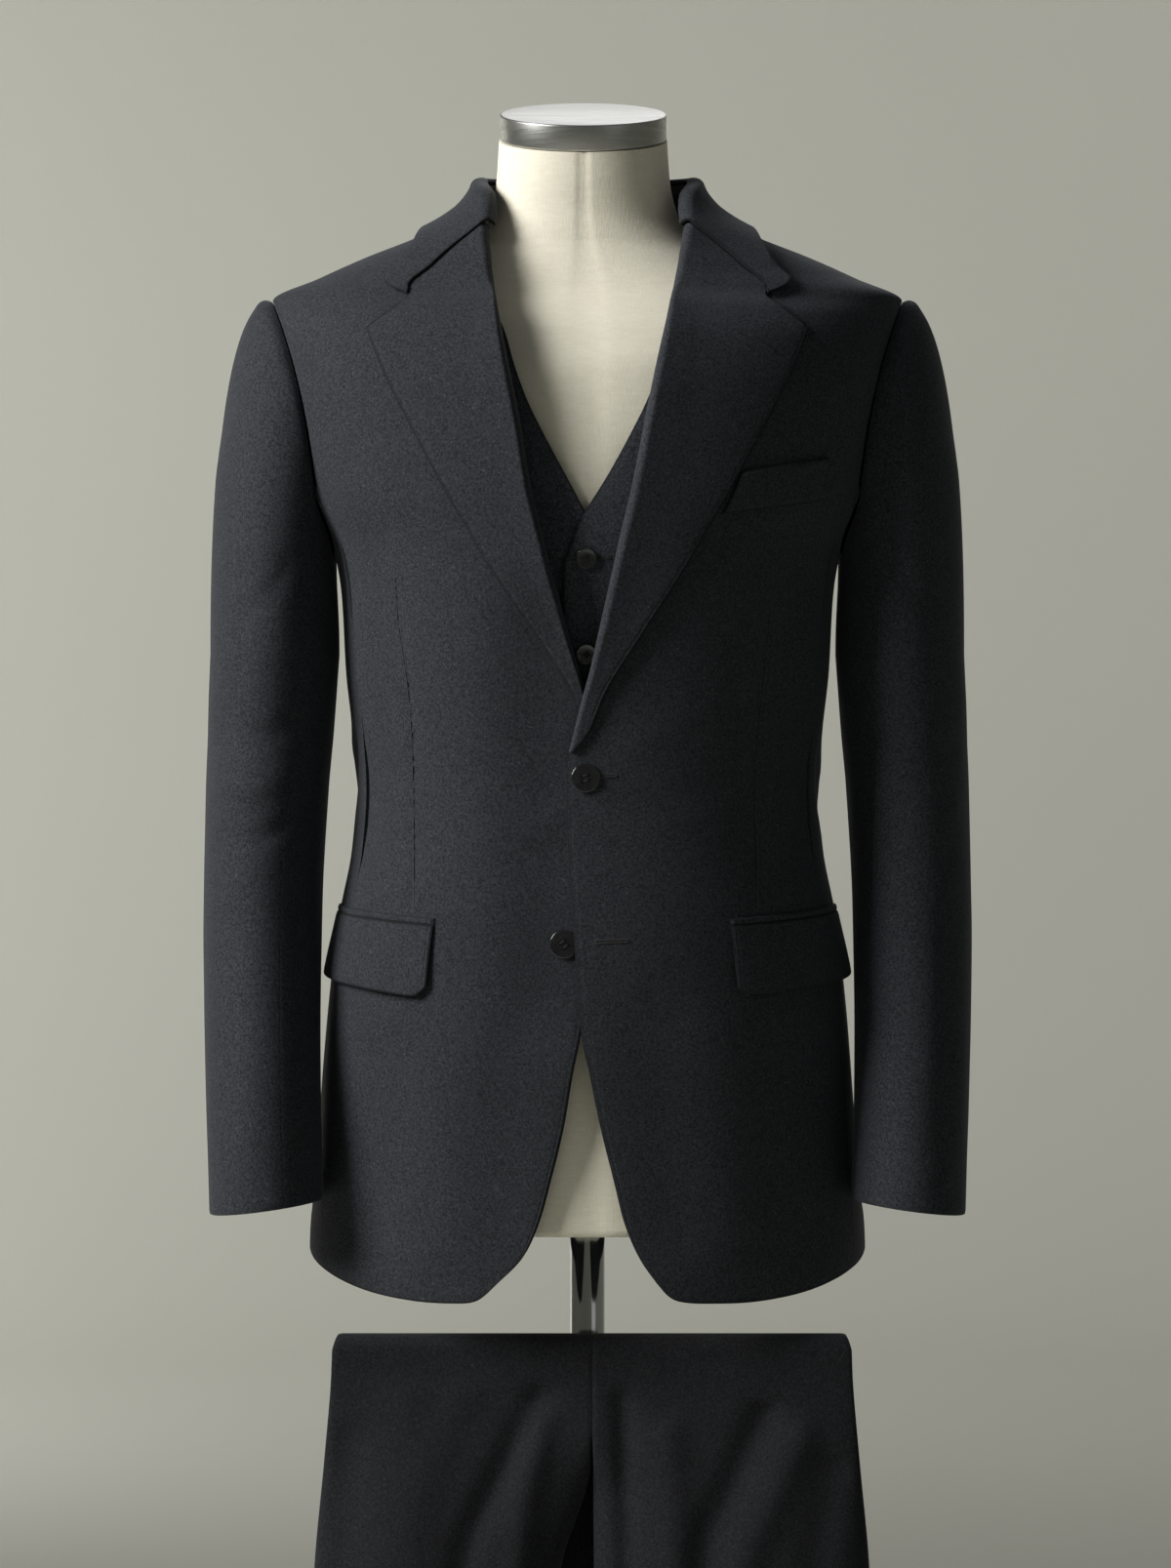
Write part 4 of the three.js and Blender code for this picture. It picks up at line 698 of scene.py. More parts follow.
bodyArc = 2.9    # millimetres of cloth for a degree round the body
sideLook = {
    "left": (
        ((78, 1340), (84, 1300), (92, 1290), (104, 1300), 9, -1.6),
        ((84, 1220), (86, 1150), (88, 1080), (90, 1000), 22, -2.2),
        ((100, 1400), (98, 1360), (94, 1330), (86, 1312), 10, 1.4),
        ((104, 1180), (104, 1110), (106, 1050), (106, 1000), 18, 1.6),
    ),
    "right": (
        ((76, 1350), (84, 1312), (94, 1300), (106, 1306), 9, -1.4),
        ((82, 1220), (84, 1150), (84, 1080), (86, 1000), 24, -2.0),
        ((102, 1396), (98, 1366), (92, 1342), (84, 1330), 11, 1.2),
        ((102, 1170), (104, 1110), (103, 1050), (104, 1000), 16, 1.8),
    ),
}
backLook = {
    "left": (
        ((124, 1540), (130, 1460), (140, 1390), (150, 1330), 16, -2.0),
        ((150, 1600), (152, 1520), (156, 1450), (158, 1380), 22, 1.8),
        ((122, 1300), (134, 1292), (148, 1290), (164, 1296), 10, -1.6),
        ((126, 1262), (140, 1256), (152, 1258), (166, 1266), 9, 1.2),
        ((140, 1200), (140, 1130), (142, 1060), (142, 990), 26, 2.2),
        ((160, 1180), (162, 1110), (162, 1050), (164, 990), 20, -2.0),
    ),
    "right": (
        ((122, 1536), (128, 1462), (136, 1396), (148, 1340), 18, -2.3),
        ((152, 1590), (154, 1520), (154, 1450), (160, 1390), 20, 1.6),
        ((124, 1316), (136, 1304), (150, 1300), (166, 1302), 10, -1.5),
        ((124, 1276), (138, 1268), (152, 1266), (164, 1272), 9, 1.1),
        ((138, 1196), (136, 1130), (138, 1060), (140, 990), 24, 2.0),
        ((158, 1186), (158, 1110), (160, 1050), (160, 990), 22, -1.8),
    ),
}


def arcFolds(folds, angle, z):
    out = np.zeros(angle.shape)
    for *line, width, height in folds:
        out += ridge(angle * bodyArc, z, [(a * bodyArc, level) for a, level in line], width, height)
    return out


def sidePlace():
    start, end = jacket["frontSeam"] + jacket["seam"], jacket["backSeam"] - jacket["seam"]
    low, high = armholeEdge(frontSeamTurn, True)[1], armholeEdge(backSeamTurn, False)[1]
    left = straight([start, float(hemAt(start))], [start, low])
    right = straight([end, float(hemAt(end))], [end, high])

    def bottom(at):
        angle = mix(start, end, at)
        return np.stack([angle, hemAt(angle)], -1)

    def top(at):
        forward = armholeEdge(mix(frontSeamTurn, 180, at * 2), True)
        behind = armholeEdge(mix(180, backSeamTurn, at * 2 - 1), False)
        line = np.where((at < 0.5)[..., None], forward, behind)
        line = np.where((at <= 0)[..., None], left(at + 1), line)
        return np.where((at >= 1)[..., None], right(at), line)
    return patch(bottom, top, left, right)


def backPlace():
    start, centre = jacket["backSeam"] + jacket["seam"], 180 - jacket["seam"] * 2
    seamTop = float(armholeEdge(backSeamTurn, False)[1])

    def bottom(at):
        angle = mix(start, centre, at)
        return np.stack([angle, hemAt(angle)], -1)
    seam = straight([start, float(hemAt(start))], [start, seamTop])
    left = chain(
        (jacket["seamShare"], seam),
        (1 - jacket["seamShare"], lambda at: armholeEdge(backSeamTurn * (1 - at), False)),
    )
    neckPoint = [jacket["shoulder"] + jacket["seam"] * 4, jacket["neck"]]
    tip = [90 + jacket["seam"] * 3, float(armholeEdge(0, False)[1])]
    shoulder = curveThrough([tip] + jacket["backShoulder"] + [neckPoint])
    neck = curveThrough([neckPoint] + jacket["backNeck"] + [[centre, jacket["neck"]]])
    right = straight([centre, float(hemAt(180))], [centre, jacket["neck"]])
    share = jacket["backNeckShare"]
    return patch(bottom, chain((1 - share, shoulder), (share, neck)), left, right)


sidePatch, backPatch = sidePlace(), backPlace()
flanks = {}
for side in ("left", "right"):
    def sideLift(angle, z, base):
        out = arcFolds(sideLook[side], angle, z) - seamSink(base, ("left", "right"), 0.06, 0.6)
        return out - seamSink(base, ("top",)) - edgeStitch(base, ("bottom",))

    def backLift(angle, z, base):
        out = arcFolds(backLook[side], angle, z) - seamSink(base, ("right",))
        out -= seamSink(base, ("left",)) + seamSink(base, ("top",))
        return out - edgeStitch(base, ("bottom",))

    flanks[side] = bodyCloth(jacketRows, sidePatch, 44, 110, sideLift)
    clothPiece(
        "jacketSide" + side.title(), "jacket_side_" + side, flanks[side], jacket["wall"], suitWool,
        (140, 520, 0.92), restsOn=("jacketFront" + side.title(),), mirrored=side == "right",
    )
    back = bodyCloth(jacketRows, backPatch, 60, 170, backLift)
    clothPiece(
        "jacketBack" + side.title(), "jacket_back_" + side, back, jacket["wall"], suitWool,
        (250, 740, 0.85), restsOn=("form_torso",), mirrored=side == "right",
    )
print("jacket body made")

lapelLook = {
    "ease": 4.5, "fade": 35, "lie": 2.9, "low": -1.2, "gap": 0.3, "roll": (3.0, 4.0), "open": (1332, 1422),
    "tip": (149.8, 1619), "notch": (121, 1641), "collarTip": (138, 1653.5), "gorgeShare": 0.68,
    "outerTop": 1610, "sway": 1.1, "swayLow": -0.35, "swayPitch": {"left": 58, "right": 66},
}
edgeRow = {"inset": 2.6, "depth": 0.3, "width": 0.8}


def rolledOut(fromRoll, opened):
    # the cloth turns over at the roll and comes down on what lies under it
    look = lapelLook
    out = look["lie"] + opened * look["ease"] * np.exp(-fromRoll / look["fade"])
    radius = look["roll"][0] + look["roll"][1] * opened
    turn = np.sqrt(np.clip(1 - (1 - np.clip(fromRoll / radius, 0, 1)) ** 2, 0, 1))
    return look["low"] + (out - look["low"]) * turn


def lapelPlace(side):
    roll = [lie(jacketRows, x, z) for x, z in zip(rollLine[side], rollLine["z"])]
    outer = [lie(jacketRows, x, z) for x, z in zip(rollLine["outer"], rollLine["z"])]
    outer = outer[:sum(z < lapelLook["outerTop"] for z in rollLine["z"])]
    tip, notch = lie(jacketRows, *lapelLook["tip"]), lie(jacketRows, *lapelLook["notch"])
    roll[-1][1] -= lapelLook["gap"]
    notch[1] -= lapelLook["gap"]
    gorge = straight(roll[-1], notch)
    share = lapelLook["gorgeShare"]
    top = chain((share, gorge), (1 - share, straight(notch, tip)))
    return patch(straight(roll[0], outer[0]), top, curveThrough(roll), curveThrough(outer + [tip]))


def lapelLift(side):
    look = lapelLook

    def lift(angle, z, base):
        distances = edgeDistances(base)
        fromRoll = distances["left"]
        out = rolledOut(fromRoll, smooth(*look["open"], z))
        sway = look["sway"] * np.sin((z - look["open"][0]) / look["swayPitch"][side])
        out += np.maximum(sway * smooth(20, 60, fromRoll), look["swayLow"])
        out -= edgeStitch(base, ("right",), **edgeRow) * smooth(6, 14, fromRoll)
        out -= 0.3 * bump(distances["top"], 1.2)
        if side == "right":
            out += rightDip(base[..., 0], z)
        return out
    return lift


lapels = {}
for side in ("left", "right"):
    lapels[side] = bodyCloth(jacketRows, lapelPlace(side), 56, 130, lapelLift(side))
    clothPiece(
        "lapel" + side.title(), "lapel_" + side, lapels[side], jacket["wall"], suitWool,
        (115, 370, 0.62), restsOn=("jacketFront" + side.title(),), mirrored=side == "right",
        shadedEdges=("right", "top"), wide=1.6,
    )
print("lapels made")

foldRows = {"angle": (35, 45, 57, 75, 90, 135, 180), "z": (1695.2, 1707, 1718, 1726, 1731, 1735, 1736)}
standSeam = [(38, 1699.5), (52, 1701), (72, 1702.5), (92, 1703.5), (130, 1704), (180, 1703)]
standDrop = 3.5
leafShare = 0.8
leafEdge = {"angle": (43.8, 50, 57.5, 72, 90, 125, 180), "z": (1667, 1679, 1689, 1696, 1698, 1695, 1693)}


def leafPlace():
    fold = list(zip(foldRows["angle"], foldRows["z"]))
    notch = lie(jacketRows, lapelLook["notch"][0], lapelLook["notch"][1] + lapelLook["gap"])
    tip = lie(jacketRows, *lapelLook["collarTip"])
    edge = [tip] + list(zip(leafEdge["angle"], leafEdge["z"]))
    front = chain((leafShare, straight(fold[0], notch)), (1 - leafShare, straight(notch, tip)))
    return patch(front, straight(fold[-1], edge[-1]), curveThrough(fold), curveThrough(edge))


def standPlace():
    angles = [standSeam[0][0]] + list(foldRows["angle"][1:])
    high = [[a, float(valueAt(foldRows, "z", a, "angle")) - standDrop] for a in angles]
    high[0][1] += standDrop / 2
    first, last = straight(high[0], standSeam[0]), straight(high[-1], standSeam[-1])
    return patch(first, last, curveThrough(high), curveThrough(standSeam))


def wholeNeck(half):
    # the strip on round the back of the neck to its other end
    return np.concatenate([half, half[:-1][::-1] * flips["right"]])


def leafLift(angle, z, base):
    distances = edgeDistances(base)
    out = rolledOut(distances["left"], np.ones(z.shape))
    out -= edgeStitch(base, ("right",), **edgeRow)
    return out - 0.3 * bump(distances["bottom"], 1.2)


leaf = wholeNeck(bodyCloth(jacketRows, leafPlace(), 26, 110, leafLift))
clothPiece("collarLeaf", "collar_leaf", leaf[:, ::-1], jacket["wall"], suitWool, (60, 470, 0.8),
           restsOn=("collarStand",), shadedEdges=("left", "top", "bottom"), wide=1.4)
stand = wholeNeck(bodyCloth(jacketRows, standPlace(), 12, 80, lambda angle, z, base: np.zeros(z.shape)))
clothPiece("collarStand", "collar_stand", stand[:, ::-1], jacket["wall"], suitWool, (34, 430, 0.75),
           restsOn=("jacketBackLeft",))
print("collar made")

sleeveRows = {
    "z": (1010, 1100, 1160, 1224, 1306, 1346, 1400),
    "outer": (259.5, 263, 265.5, 267, 266, 264.5, 262),
    "inner": (181, 184, 185, 184.5, 180.5, 177, 173),
    "depth": (46, 50, 53, 56, 60, 62, 66),
    "middle": (-51, -35, -18, -4, 4, 5, 4),
}
sleeveLook = {
    "cuff": 1020, "slope": 5, "headBottom": 1400, "wall": 1.9, "start": 0.7,
    "sideways": -0.3, "up": (-0.78, 0.12), "reach": (6, 30), "stretch": 0.55,
    "rope": 1.5, "ropeAt": 7, "ropeWidth": 6, "sink": 0.8, "sinkWidth": 2.6,
    "headRows": 52, "headPitch": 1.15, "tubeRows": 110, "tubePitch": 1.12,
    "left": (
        ((128, 1352), (96, 1336), (62, 1330), (30, 1338), 8, -1.6),
        ((132, 1316), (98, 1296), (64, 1290), (30, 1300), 10, 1.5),
        ((126, 1282), (100, 1262), (70, 1256), (44, 1262), 8, -1.4),
        ((20, 1560), (24, 1480), (30, 1400), (28, 1330), 20, 1.8),
        ((60, 1240), (56, 1180), (58, 1120), (60, 1050), 16, -1.2),
        ((-40, 1380), (-44, 1330), (-60, 1290), (-80, 1270), 12, -1.6),
        ((-20, 1240), (-16, 1180), (-18, 1110), (-20, 1050), 18, 1.4),
        ((110, 1480), (90, 1450), (70, 1430), (50, 1424), 9, -1.3),
    ),
    "right": (
        ((130, 1362), (100, 1344), (66, 1340), (34, 1350), 9, -1.4),
        ((130, 1326), (96, 1310), (60, 1306), (26, 1318), 9, 1.3),
        ((128, 1290), (98, 1274), (70, 1270), (40, 1280), 8, -1.5),
        ((16, 1560), (22, 1484), (26, 1410), (30, 1336), 22, 1.6),
        ((64, 1236), (60, 1176), (56, 1116), (58, 1050), 17, -1.4),
        ((-44, 1388), (-50, 1340), (-62, 1300), (-84, 1276), 12, -1.8),
        ((-16, 1230), (-20, 1170), (-16, 1110), (-18, 1050), 16, 1.2),
        ((112, 1470), (92, 1444), (72, 1428), (50, 1420), 9, -1.2),
    ),
}


def sleeveRing(turn, z):
    turn, z = np.broadcast_arrays(np.radians(np.asarray(turn, float)), np.asarray(z, float))
    outer, inner = valueAt(sleeveRows, "outer", z), valueAt(sleeveRows, "inner", z)
    x = (outer + inner) / 2 + (outer - inner) / 2 * np.cos(turn)
    y = valueAt(sleeveRows, "middle", z) - valueAt(sleeveRows, "depth", z) * np.sin(turn)
    return np.stack([x, y, z], -1)


def sleeveHead(turn, share):
    # the way in which the sleeve leaves the armhole: outwards on top, down under the arm
    look = sleeveLook
    angle = np.radians(turn)
    fromTop = np.radians(np.abs((turn + 540) % 360 - 180))
    swing = np.where(np.sin(angle) > 0, armhole["front"], -armhole["back"])
    z = armhole["z"] + armhole["radius"] * np.cos(fromTop)
    start = surfacePoint(jacketRows, 90 - swing * np.sin(fromTop), z, look["start"])
    end = sleeveRing(turn, look["headBottom"])
    top = (1 + np.cos(angle)) / 2
    leaving = unit(np.stack([top, look["sideways"] * np.sin(angle), mix(*look["up"], top)], -1))
    first = start + leaving * mix(*look["reach"], top)[..., None]
    second = end.copy()
    second[..., 2] += look["stretch"] * (start[..., 2] - end[..., 2])
    s = share[..., None]
    return (1 - s) ** 3 * start + 3 * s * (1 - s) ** 2 * first + 3 * s * s * (1 - s) * second + s**3 * end


def sleeveGrid(fromTurn, toTurn, columns):
    look = sleeveLook
    turn = mix(fromTurn, toTurn, endShares(columns))
    shares = np.linspace(0, 1, look["headRows"], endpoint=False) ** look["headPitch"]
    headTurn, share = np.meshgrid(turn, shares)
    levels = 1 - (1 - np.linspace(0, 1, look["tubeRows"])) ** look["tubePitch"]
    tubeTurn, down = np.meshgrid(turn, levels)
    low = look["cuff"] - look["slope"] * np.cos(np.radians(tubeTurn))
    tube = sleeveRing(tubeTurn, mix(look["headBottom"], low, down))
    return np.concatenate([sleeveHead(headTurn, share), tube]), np.concatenate([headTurn, tubeTurn])


def sleeveCloth(side, fromTurn, toTurn, columns):
    look = sleeveLook
    base, turn = sleeveGrid(fromTurn, toTurn, columns)
    folded = (turn + 104) % 360 - 104
    out = np.zeros(turn.shape)
    for *line, width, height in look[side]:
        out += ridge(folded, base[..., 2], line, width, height)
    distances = edgeDistances(base)
    fromArmhole, fromCuff = distances["bottom"], distances["top"]
    out *= smooth(0, 30, fromArmhole)
    rope = look["rope"] * bump(fromArmhole - look["ropeAt"], look["ropeWidth"])
    out += rope * smooth(100, 20, np.abs(folded))
    out -= look["sink"] * bump(fromArmhole, look["sinkWidth"]) + 0.5 * bump(fromCuff, 1.2)
    out -= seamSink(base, ("left", "right"), 0.1, 0.6)
    return base + gridNormals(base) * out[..., None]


sleeveParts = {
    "Top": {"node": "sleeve_top_{0}", "turns": (-103.99, 111.99), "columns": 76, "cut": (235, 640, 0.86)},
    "Under": {
        "node": "sleeve_under_{0} sleeve_under_low_{0}", "turns": (112.01, 255.99), "columns": 48,
        "cut": (160, 520, 0.9),
    },
}
for side in ("left", "right"):
    for part, look in sleeveParts.items():
        cloth = sleeveCloth(side, *look["turns"], look["columns"])
        clothPiece(
            "sleeve" + part + side.title(), look["node"].format(side), cloth, sleeveLook["wall"],
            suitWool, look["cut"], restsOn=("jacketFront" + side.title(),), mirrored=side == "right",
        )
print("sleeves made")

# waistcoat, close over the form
vest = {
    "ease": 7, "shoulderEase": 3.5, "overlap": 3.6, "wall": 1.8, "seam": 0.1, "neckAngle": 92, "neckZ": 1684,
    "neckShare": 0.45, "frontNeck": [[60, 1680]], "frontShoulder": [[91, 1666]],
    "backShoulder": [[91.2, 1666]], "backNeck": [[130, 1690], [180, 1690]],
}
vestEdge = {
    "z": (1153, 1175, 1200, 1300, 1446, 1460, 1477, 1498, 1519, 1563, 1592, 1621, 1650, 1672),
    "left": (8, -8, -14, -15.5, -16, -14.7, -9.2, 1, 14, 37.5, 48.5, 57.5, 61.5, 63.5),
    "right": (14, -2, -10, -12, -12, -11, -7, 4, 15, 38, 49, 59, 64.5, 66.5),
}
vestHem = {"angle": (3, 20, 60, 90, 180), "z": (1153, 1160, 1186, 1194, 1196)}
vestHole = {"middle": 1548, "radius": 98, "front": 30, "back": 34}
vestFolds = (
    ((10, 1430), (30, 1420), (56, 1424), (84, 1440), 9, -1.0),
    ((6, 1396), (32, 1388), (60, 1384), (90, 1392), 10, 0.8),
    ((60, 1560), (66, 1520), (76, 1480), (84, 1440), 12, -1.1),
    ((40, 1520), (50, 1490), (58, 1460), (62, 1430), 12, 0.9),
    ((8, 1330), (40, 1318), (70, 1316), (100, 1322), 9, -1.0),
)


def vestOut(z):
    return vest["ease"] + vest["shoulderEase"] * smooth(1590, 1640, z)


def vestHoleEdge(turn, front):
    turn = np.radians(turn)
    swing = vestHole["front"] if front else -vestHole["back"]
    shift = -vest["seam"] if front else vest["seam"]
    z = vestHole["middle"] + vestHole["radius"] * np.cos(turn)
    return np.stack([90 - swing * np.sin(turn) + shift, z], -1)


def vestFrontPlace(side):
    edge = [lie(formRows, x, z) for x, z in zip(vestEdge[side], vestEdge["z"])]
    sideAngle = 90 - vest["seam"]
    hem = [[min(a, sideAngle), z] for a, z in zip(vestHem["angle"][1:4], vestHem["z"][1:4])]
    seam = straight(hem[-1], [sideAngle, vestHole["middle"] - vestHole["radius"]])
    right = chain((0.5, seam), (0.5, lambda at: vestHoleEdge(180 * (1 - at), True)))
    neckPoint = [vest["neckAngle"] - vest["seam"] * 2, vest["neckZ"]]
    tip = vestHoleEdge(np.array(0.0), True)
    neck = curveThrough([edge[-1]] + vest["frontNeck"] + [neckPoint])
    shoulder = curveThrough([neckPoint] + vest["frontShoulder"] + [tip])
    top = chain((vest["neckShare"], neck), (1 - vest["neckShare"], shoulder))
    return patch(curveThrough([edge[0]] + hem), top, curveThrough(edge), right)


def vestBackPlace():
    start = 90 + vest["seam"]

    def bottom(at):
        angle = mix(start, 180, at)
        return np.stack([angle, valueAt(vestHem, "z", angle, "angle")], -1)
    low = [start, float(valueAt(vestHem, "z", start, "angle"))]
    seam = straight(low, [start, vestHole["middle"] - vestHole["radius"]])
    left = chain((0.5, seam), (0.5, lambda at: vestHoleEdge(180 * (1 - at), False)))
    neckPoint = [vest["neckAngle"] + vest["seam"] * 2, vest["neckZ"]]
    tip = vestHoleEdge(np.array(0.0), False)
    shoulder = curveThrough([tip] + vest["backShoulder"] + [neckPoint])
    neck = curveThrough([neckPoint] + vest["backNeck"])
    centre = straight([180, vestHem["z"][-1]], vest["backNeck"][-1])
    return patch(bottom, chain((0.5, shoulder), (0.5, neck)), left, centre)


vestFronts = {}
for side in ("left", "right"):
    def vestLift(angle, z, base):
        x = base[..., 0]
        out = vestOut(z)
        for *line, width, height in vestFolds:
            shifted = [(a + (4 if side == "right" else 0), level) for a, level in line]
            out = out + ridge(x, z, shifted, width, height * (0.8 if side == "right" else 1))
        if side == "right":
            out = out - vest["overlap"] * (1 - smooth(20, 45, x)) * (1 - smooth(1490, 1540, z))
        return out - seamSink(base, ("right", "top")) - edgeStitch(base, ("left", "bottom"))

    vestFronts[side] = bodyCloth(formRows, vestFrontPlace(side), 56, 130, vestLift)
    clothPiece(
        "waistcoatFront" + side.title(), "waistcoat_front_" + side, vestFronts[side], vest["wall"], vestWoolPaintedLight,
        (280, 550, 0.75), restsOn=("form_torso",), mirrored=side == "right", shadedEdges=("left", "bottom"),
    )


def vestBackLift(angle, z, base):
    return vestOut(z) - seamSink(base, ("left", "top"))


halfBack = bodyCloth(formRows, vestBackPlace(), 44, 110, vestBackLift)
otherBack = halfBack[:, :-1][:, ::-1] * flips["right"]
wholeBack = np.concatenate([halfBack, otherBack], axis=1)
clothPiece("waistcoatBack", "waistcoat_back", wholeBack, vest["wall"], vestWoolPaintedLight, (520, 520, 0.85),
           restsOn=("form_torso",))
print("waistcoat made")

# trousers, folded over the bar: reach runs along the cloth, 0 on top of the bar, positive in front
bar = {"y": -65, "z": 923.6, "radius": 5.8, "length": 340, "centre": 3, "edge": 1.0}
trousers = {
    "layer": 2.2, "gap": 0.4, "wall": 1.6, "hem": 62, "waistReach": -170, "band": 38,
    "crotch": 849, "crotchBlend": 25, "topHalf": 173, "flyWidth": 0.22, "flyLift": 2.2, "rounding": 2.5,
}
legRows = {
    "z": (62, 300, 480, 650, 740, 773, 849, 900, 923.6),
    "outer": (160, 166, 175, 187, 190.5, 189.5, 183, 178.5, 177),
    "innerLeft": (17, 13, 9, 4, 1.5, 1, 0.3, 0.3, 0.3),
    "innerRight": (28, 27, 25, 24, 23, 21, 0.3, 0.3, 0.3),
    "front": (32, 32, 33, 33, 29, 25, 12, 3, 0),
    "back": (32, 33, 34, 26, 13, 11.5, 7, 3.5, 0),
    "seam": (-76, -77, -78, -81, -82.2, -81, -76.5, -73.6, -73.4),
}
turnedRows = {"z": (760, 870, 923.6), "outer": (172, 174, 176), "ease": (4, 1, 0)}
pathRadius = bar["radius"] + 0.4 + trousers["layer"]
quarterTurn = math.pi / 2 * pathRadius
trouserFolds = (
    # troughs and ridges of the hanging fronts as (x, z) in front, then width and height
    ((-24, 908), (-44, 870), (-64, 830), (-80, 796), (-90, 740), 10, -5.5),
    ((-30, 896), (-36, 860), (-43, 820), (-47, 780), (-50, 710), 11, 4.2),
    ((-120, 912), (-126, 860), (-134, 800), (-138, 720), 18, 2.6),
    ((-76, 912), (-98, 866), (-114, 820), (-120, 740), 14, 2.2),
    ((23, 908), (25, 870), (26, 830), (27, 790), (28, 710), 8, -4.4),
    ((52, 886), (55, 856), (57, 820), (60, 770), (62, 690), 13, 3.8),
    ((128, 896), (112, 862), (96, 828), (80, 792), (72, 730), 11, -5.0),
    ((154, 882), (136, 846), (120, 812), (106, 780), (98, 710), 12, 4.0),
    ((170, 860), (160, 810), (150, 760), (146, 690), 13, -2.6),
    ((-160, 880), (-164, 820), (-166, 760), (-164, 680), 12, -2.4),
    ((-90, 660), (-84, 520), (-86, 360), (-84, 180), (-82, 70), 15, 2.4),
    ((96, 660), (90, 520), (88, 360), (88, 180), (86, 70), 15, 2.4),
    ((-130, 640), (-128, 500), (-124, 340), (-126, 160), 16, -1.8),
    ((136, 640), (130, 500), (132, 340), (128, 160), 16, -2.0),
    ((-60, 420), (-70, 380), (-90, 372), (-112, 380), 10, -1.8),
    ((62, 440), (76, 404), (96, 396), (120, 404), 10, -1.9),
)
backFolds = (
    ((-60, 900), (-70, 850), (-84, 800), (-92, 740), 14, 1.6),
    ((70, 900), (74, 850), (80, 800), (90, 740), 15, 1.8),
    ((-110, 860), (-116, 800), (-118, 740), (-120, 660), 15, -1.6),
    ((118, 870), (120, 800), (120, 740), (124, 660), 15, -1.7),
    ((-88, 560), (-90, 430), (-86, 280), (-84, 70), 15, 2.0),
    ((92, 560), (92, 430), (88, 280), (86, 70), 15, 1.9),
    ((-50, 420), (-76, 404), (-104, 410), (-134, 426), 11, -1.8),
    ((54, 436), (80, 420), (108, 424), (138, 440), 11, -1.6),
)


def clothPath(reach):
    # the middle path's Y and Z and its outward normal
    turn = np.clip(reach, -quarterTurn, quarterTurn) / pathRadius
    beyond = np.abs(reach) > quarterTurn
    z = np.where(beyond, bar["z"] - (np.abs(reach) - quarterTurn), bar["z"] + pathRadius * np.cos(turn))
    ahead, behind = valueAt(legRows, "seam", z), bar["y"] + pathRadius + valueAt(turnedRows, "ease", z)
    y = np.where(beyond, np.where(reach > 0, ahead, behind), bar["y"] - pathRadius * np.sin(turn))
    normalY = np.where(beyond, -np.sign(reach), -np.sin(turn))
    return y, z, normalY, np.where(beyond, 0, np.cos(turn))


def trouserGrid(side, face, reaches, across, lift=0.0):
    u, reach = np.meshgrid(across, reaches)
    y, z, normalY, normalZ = clothPath(reach)
    turned = np.clip(np.abs(reach) / quarterTurn, 0, 1)
    outer = np.where(reach >= 0, valueAt(legRows, "outer", z), valueAt(turnedRows, "outer", z))
    outer = mix(trousers["topHalf"], outer, turned)
    inner = np.where(reach > 0, valueAt(legRows, "innerLeft" if side == "left" else "innerRight", z), 0.2)
    x = mix(inner, outer, u) * (1 if side == "left" else -1) + bar["centre"]
    rise = np.sqrt(1 - u ** trousers["rounding"])
    leg = np.sqrt(np.maximum(1 - np.abs(2 * u - 1) ** trousers["rounding"], 0))
    crotch, blend = trousers["crotch"], trousers["crotchBlend"]
    full = mix(leg, rise, smooth(crotch - blend, crotch + blend, z))
    out = trousers["layer"] + np.where(reach > quarterTurn, valueAt(legRows, face, z) * full, 0) + lift
    folds = np.zeros(x.shape)
    for *line, width, height in trouserFolds if face == "front" else backFolds:
        folds += ridge(x, z, line, width, height, 0.1)
    nearSide = smooth(0, 0.06, u) * smooth(0, 0.06, 1 - u)
    room = smooth(quarterTurn, quarterTurn + 40, reach)
    out = out + folds * room * (nearSide if face == "back" else smooth(0, 0.06, 1 - u))
    out = out * (1 if face == "front" else -1)
    points = np.stack([x, y + normalY * out, z + normalZ * out], -1)
    return points if (side == "left") == (face == "back") else points[:, ::-1]


def trouserSeams(points, edges, hem=True):
    out = -seamSink(points, edges)
    if hem:
        out -= 0.5 * bump(points[..., 2] - trousers["hem"], 1.5)
    return points + gridNormals(points) * out[..., None]


bandReach = trousers["waistReach"] + trousers["band"]
legEnd = bar["z"] - trousers["hem"] + quarterTurn
trouserReach = np.concatenate([
    np.linspace(bandReach + 0.4, -quarterTurn, 26, endpoint=False),
    np.linspace(-quarterTurn, quarterTurn, 18, endpoint=False),
    quarterTurn + (legEnd - quarterTurn) * np.linspace(0, 1, 170) ** 1.15,
])
for side in ("left", "right"):
    for face in ("front", "back"):
        name = face.title() + side.title()
        node = face + "_" + side
        cloth = trouserSeams(trouserGrid(side, face, trouserReach, endShares(54, 0.85)), ("left", "right"))
        clothPiece("trouser" + name, "trouser_" + node, cloth, trousers["wall"], trouserWool,
                   (250, 1040, 0.72), restsOn=("trouser_bar",))
        band = trouserGrid(side, face, np.linspace(trousers["waistReach"], bandReach, 14), endShares(40))
        band = trouserSeams(band, ("top", "bottom", "left", "right"), False)
        clothPiece("waistband" + name, "waistband_" + node, band, trousers["wall"], trouserWool,
                   (178, 40, 0.95), restsOn=("trouser" + name,))
flyReach = np.linspace(bandReach + 0.4, -quarterTurn - 2, 24)
flyAcross = 0.01 + endShares(20) * trousers["flyWidth"]
fly = trouserGrid("left", "front", flyReach, flyAcross, trousers["flyLift"])
fly = trouserSeams(fly, ("left", "right"), False)
clothPiece("flyFront", "fly_front", fly, trousers["wall"], trouserWool, (42, 122, 0.95),
           restsOn=("trouserFrontLeft",))
print("trousers made")

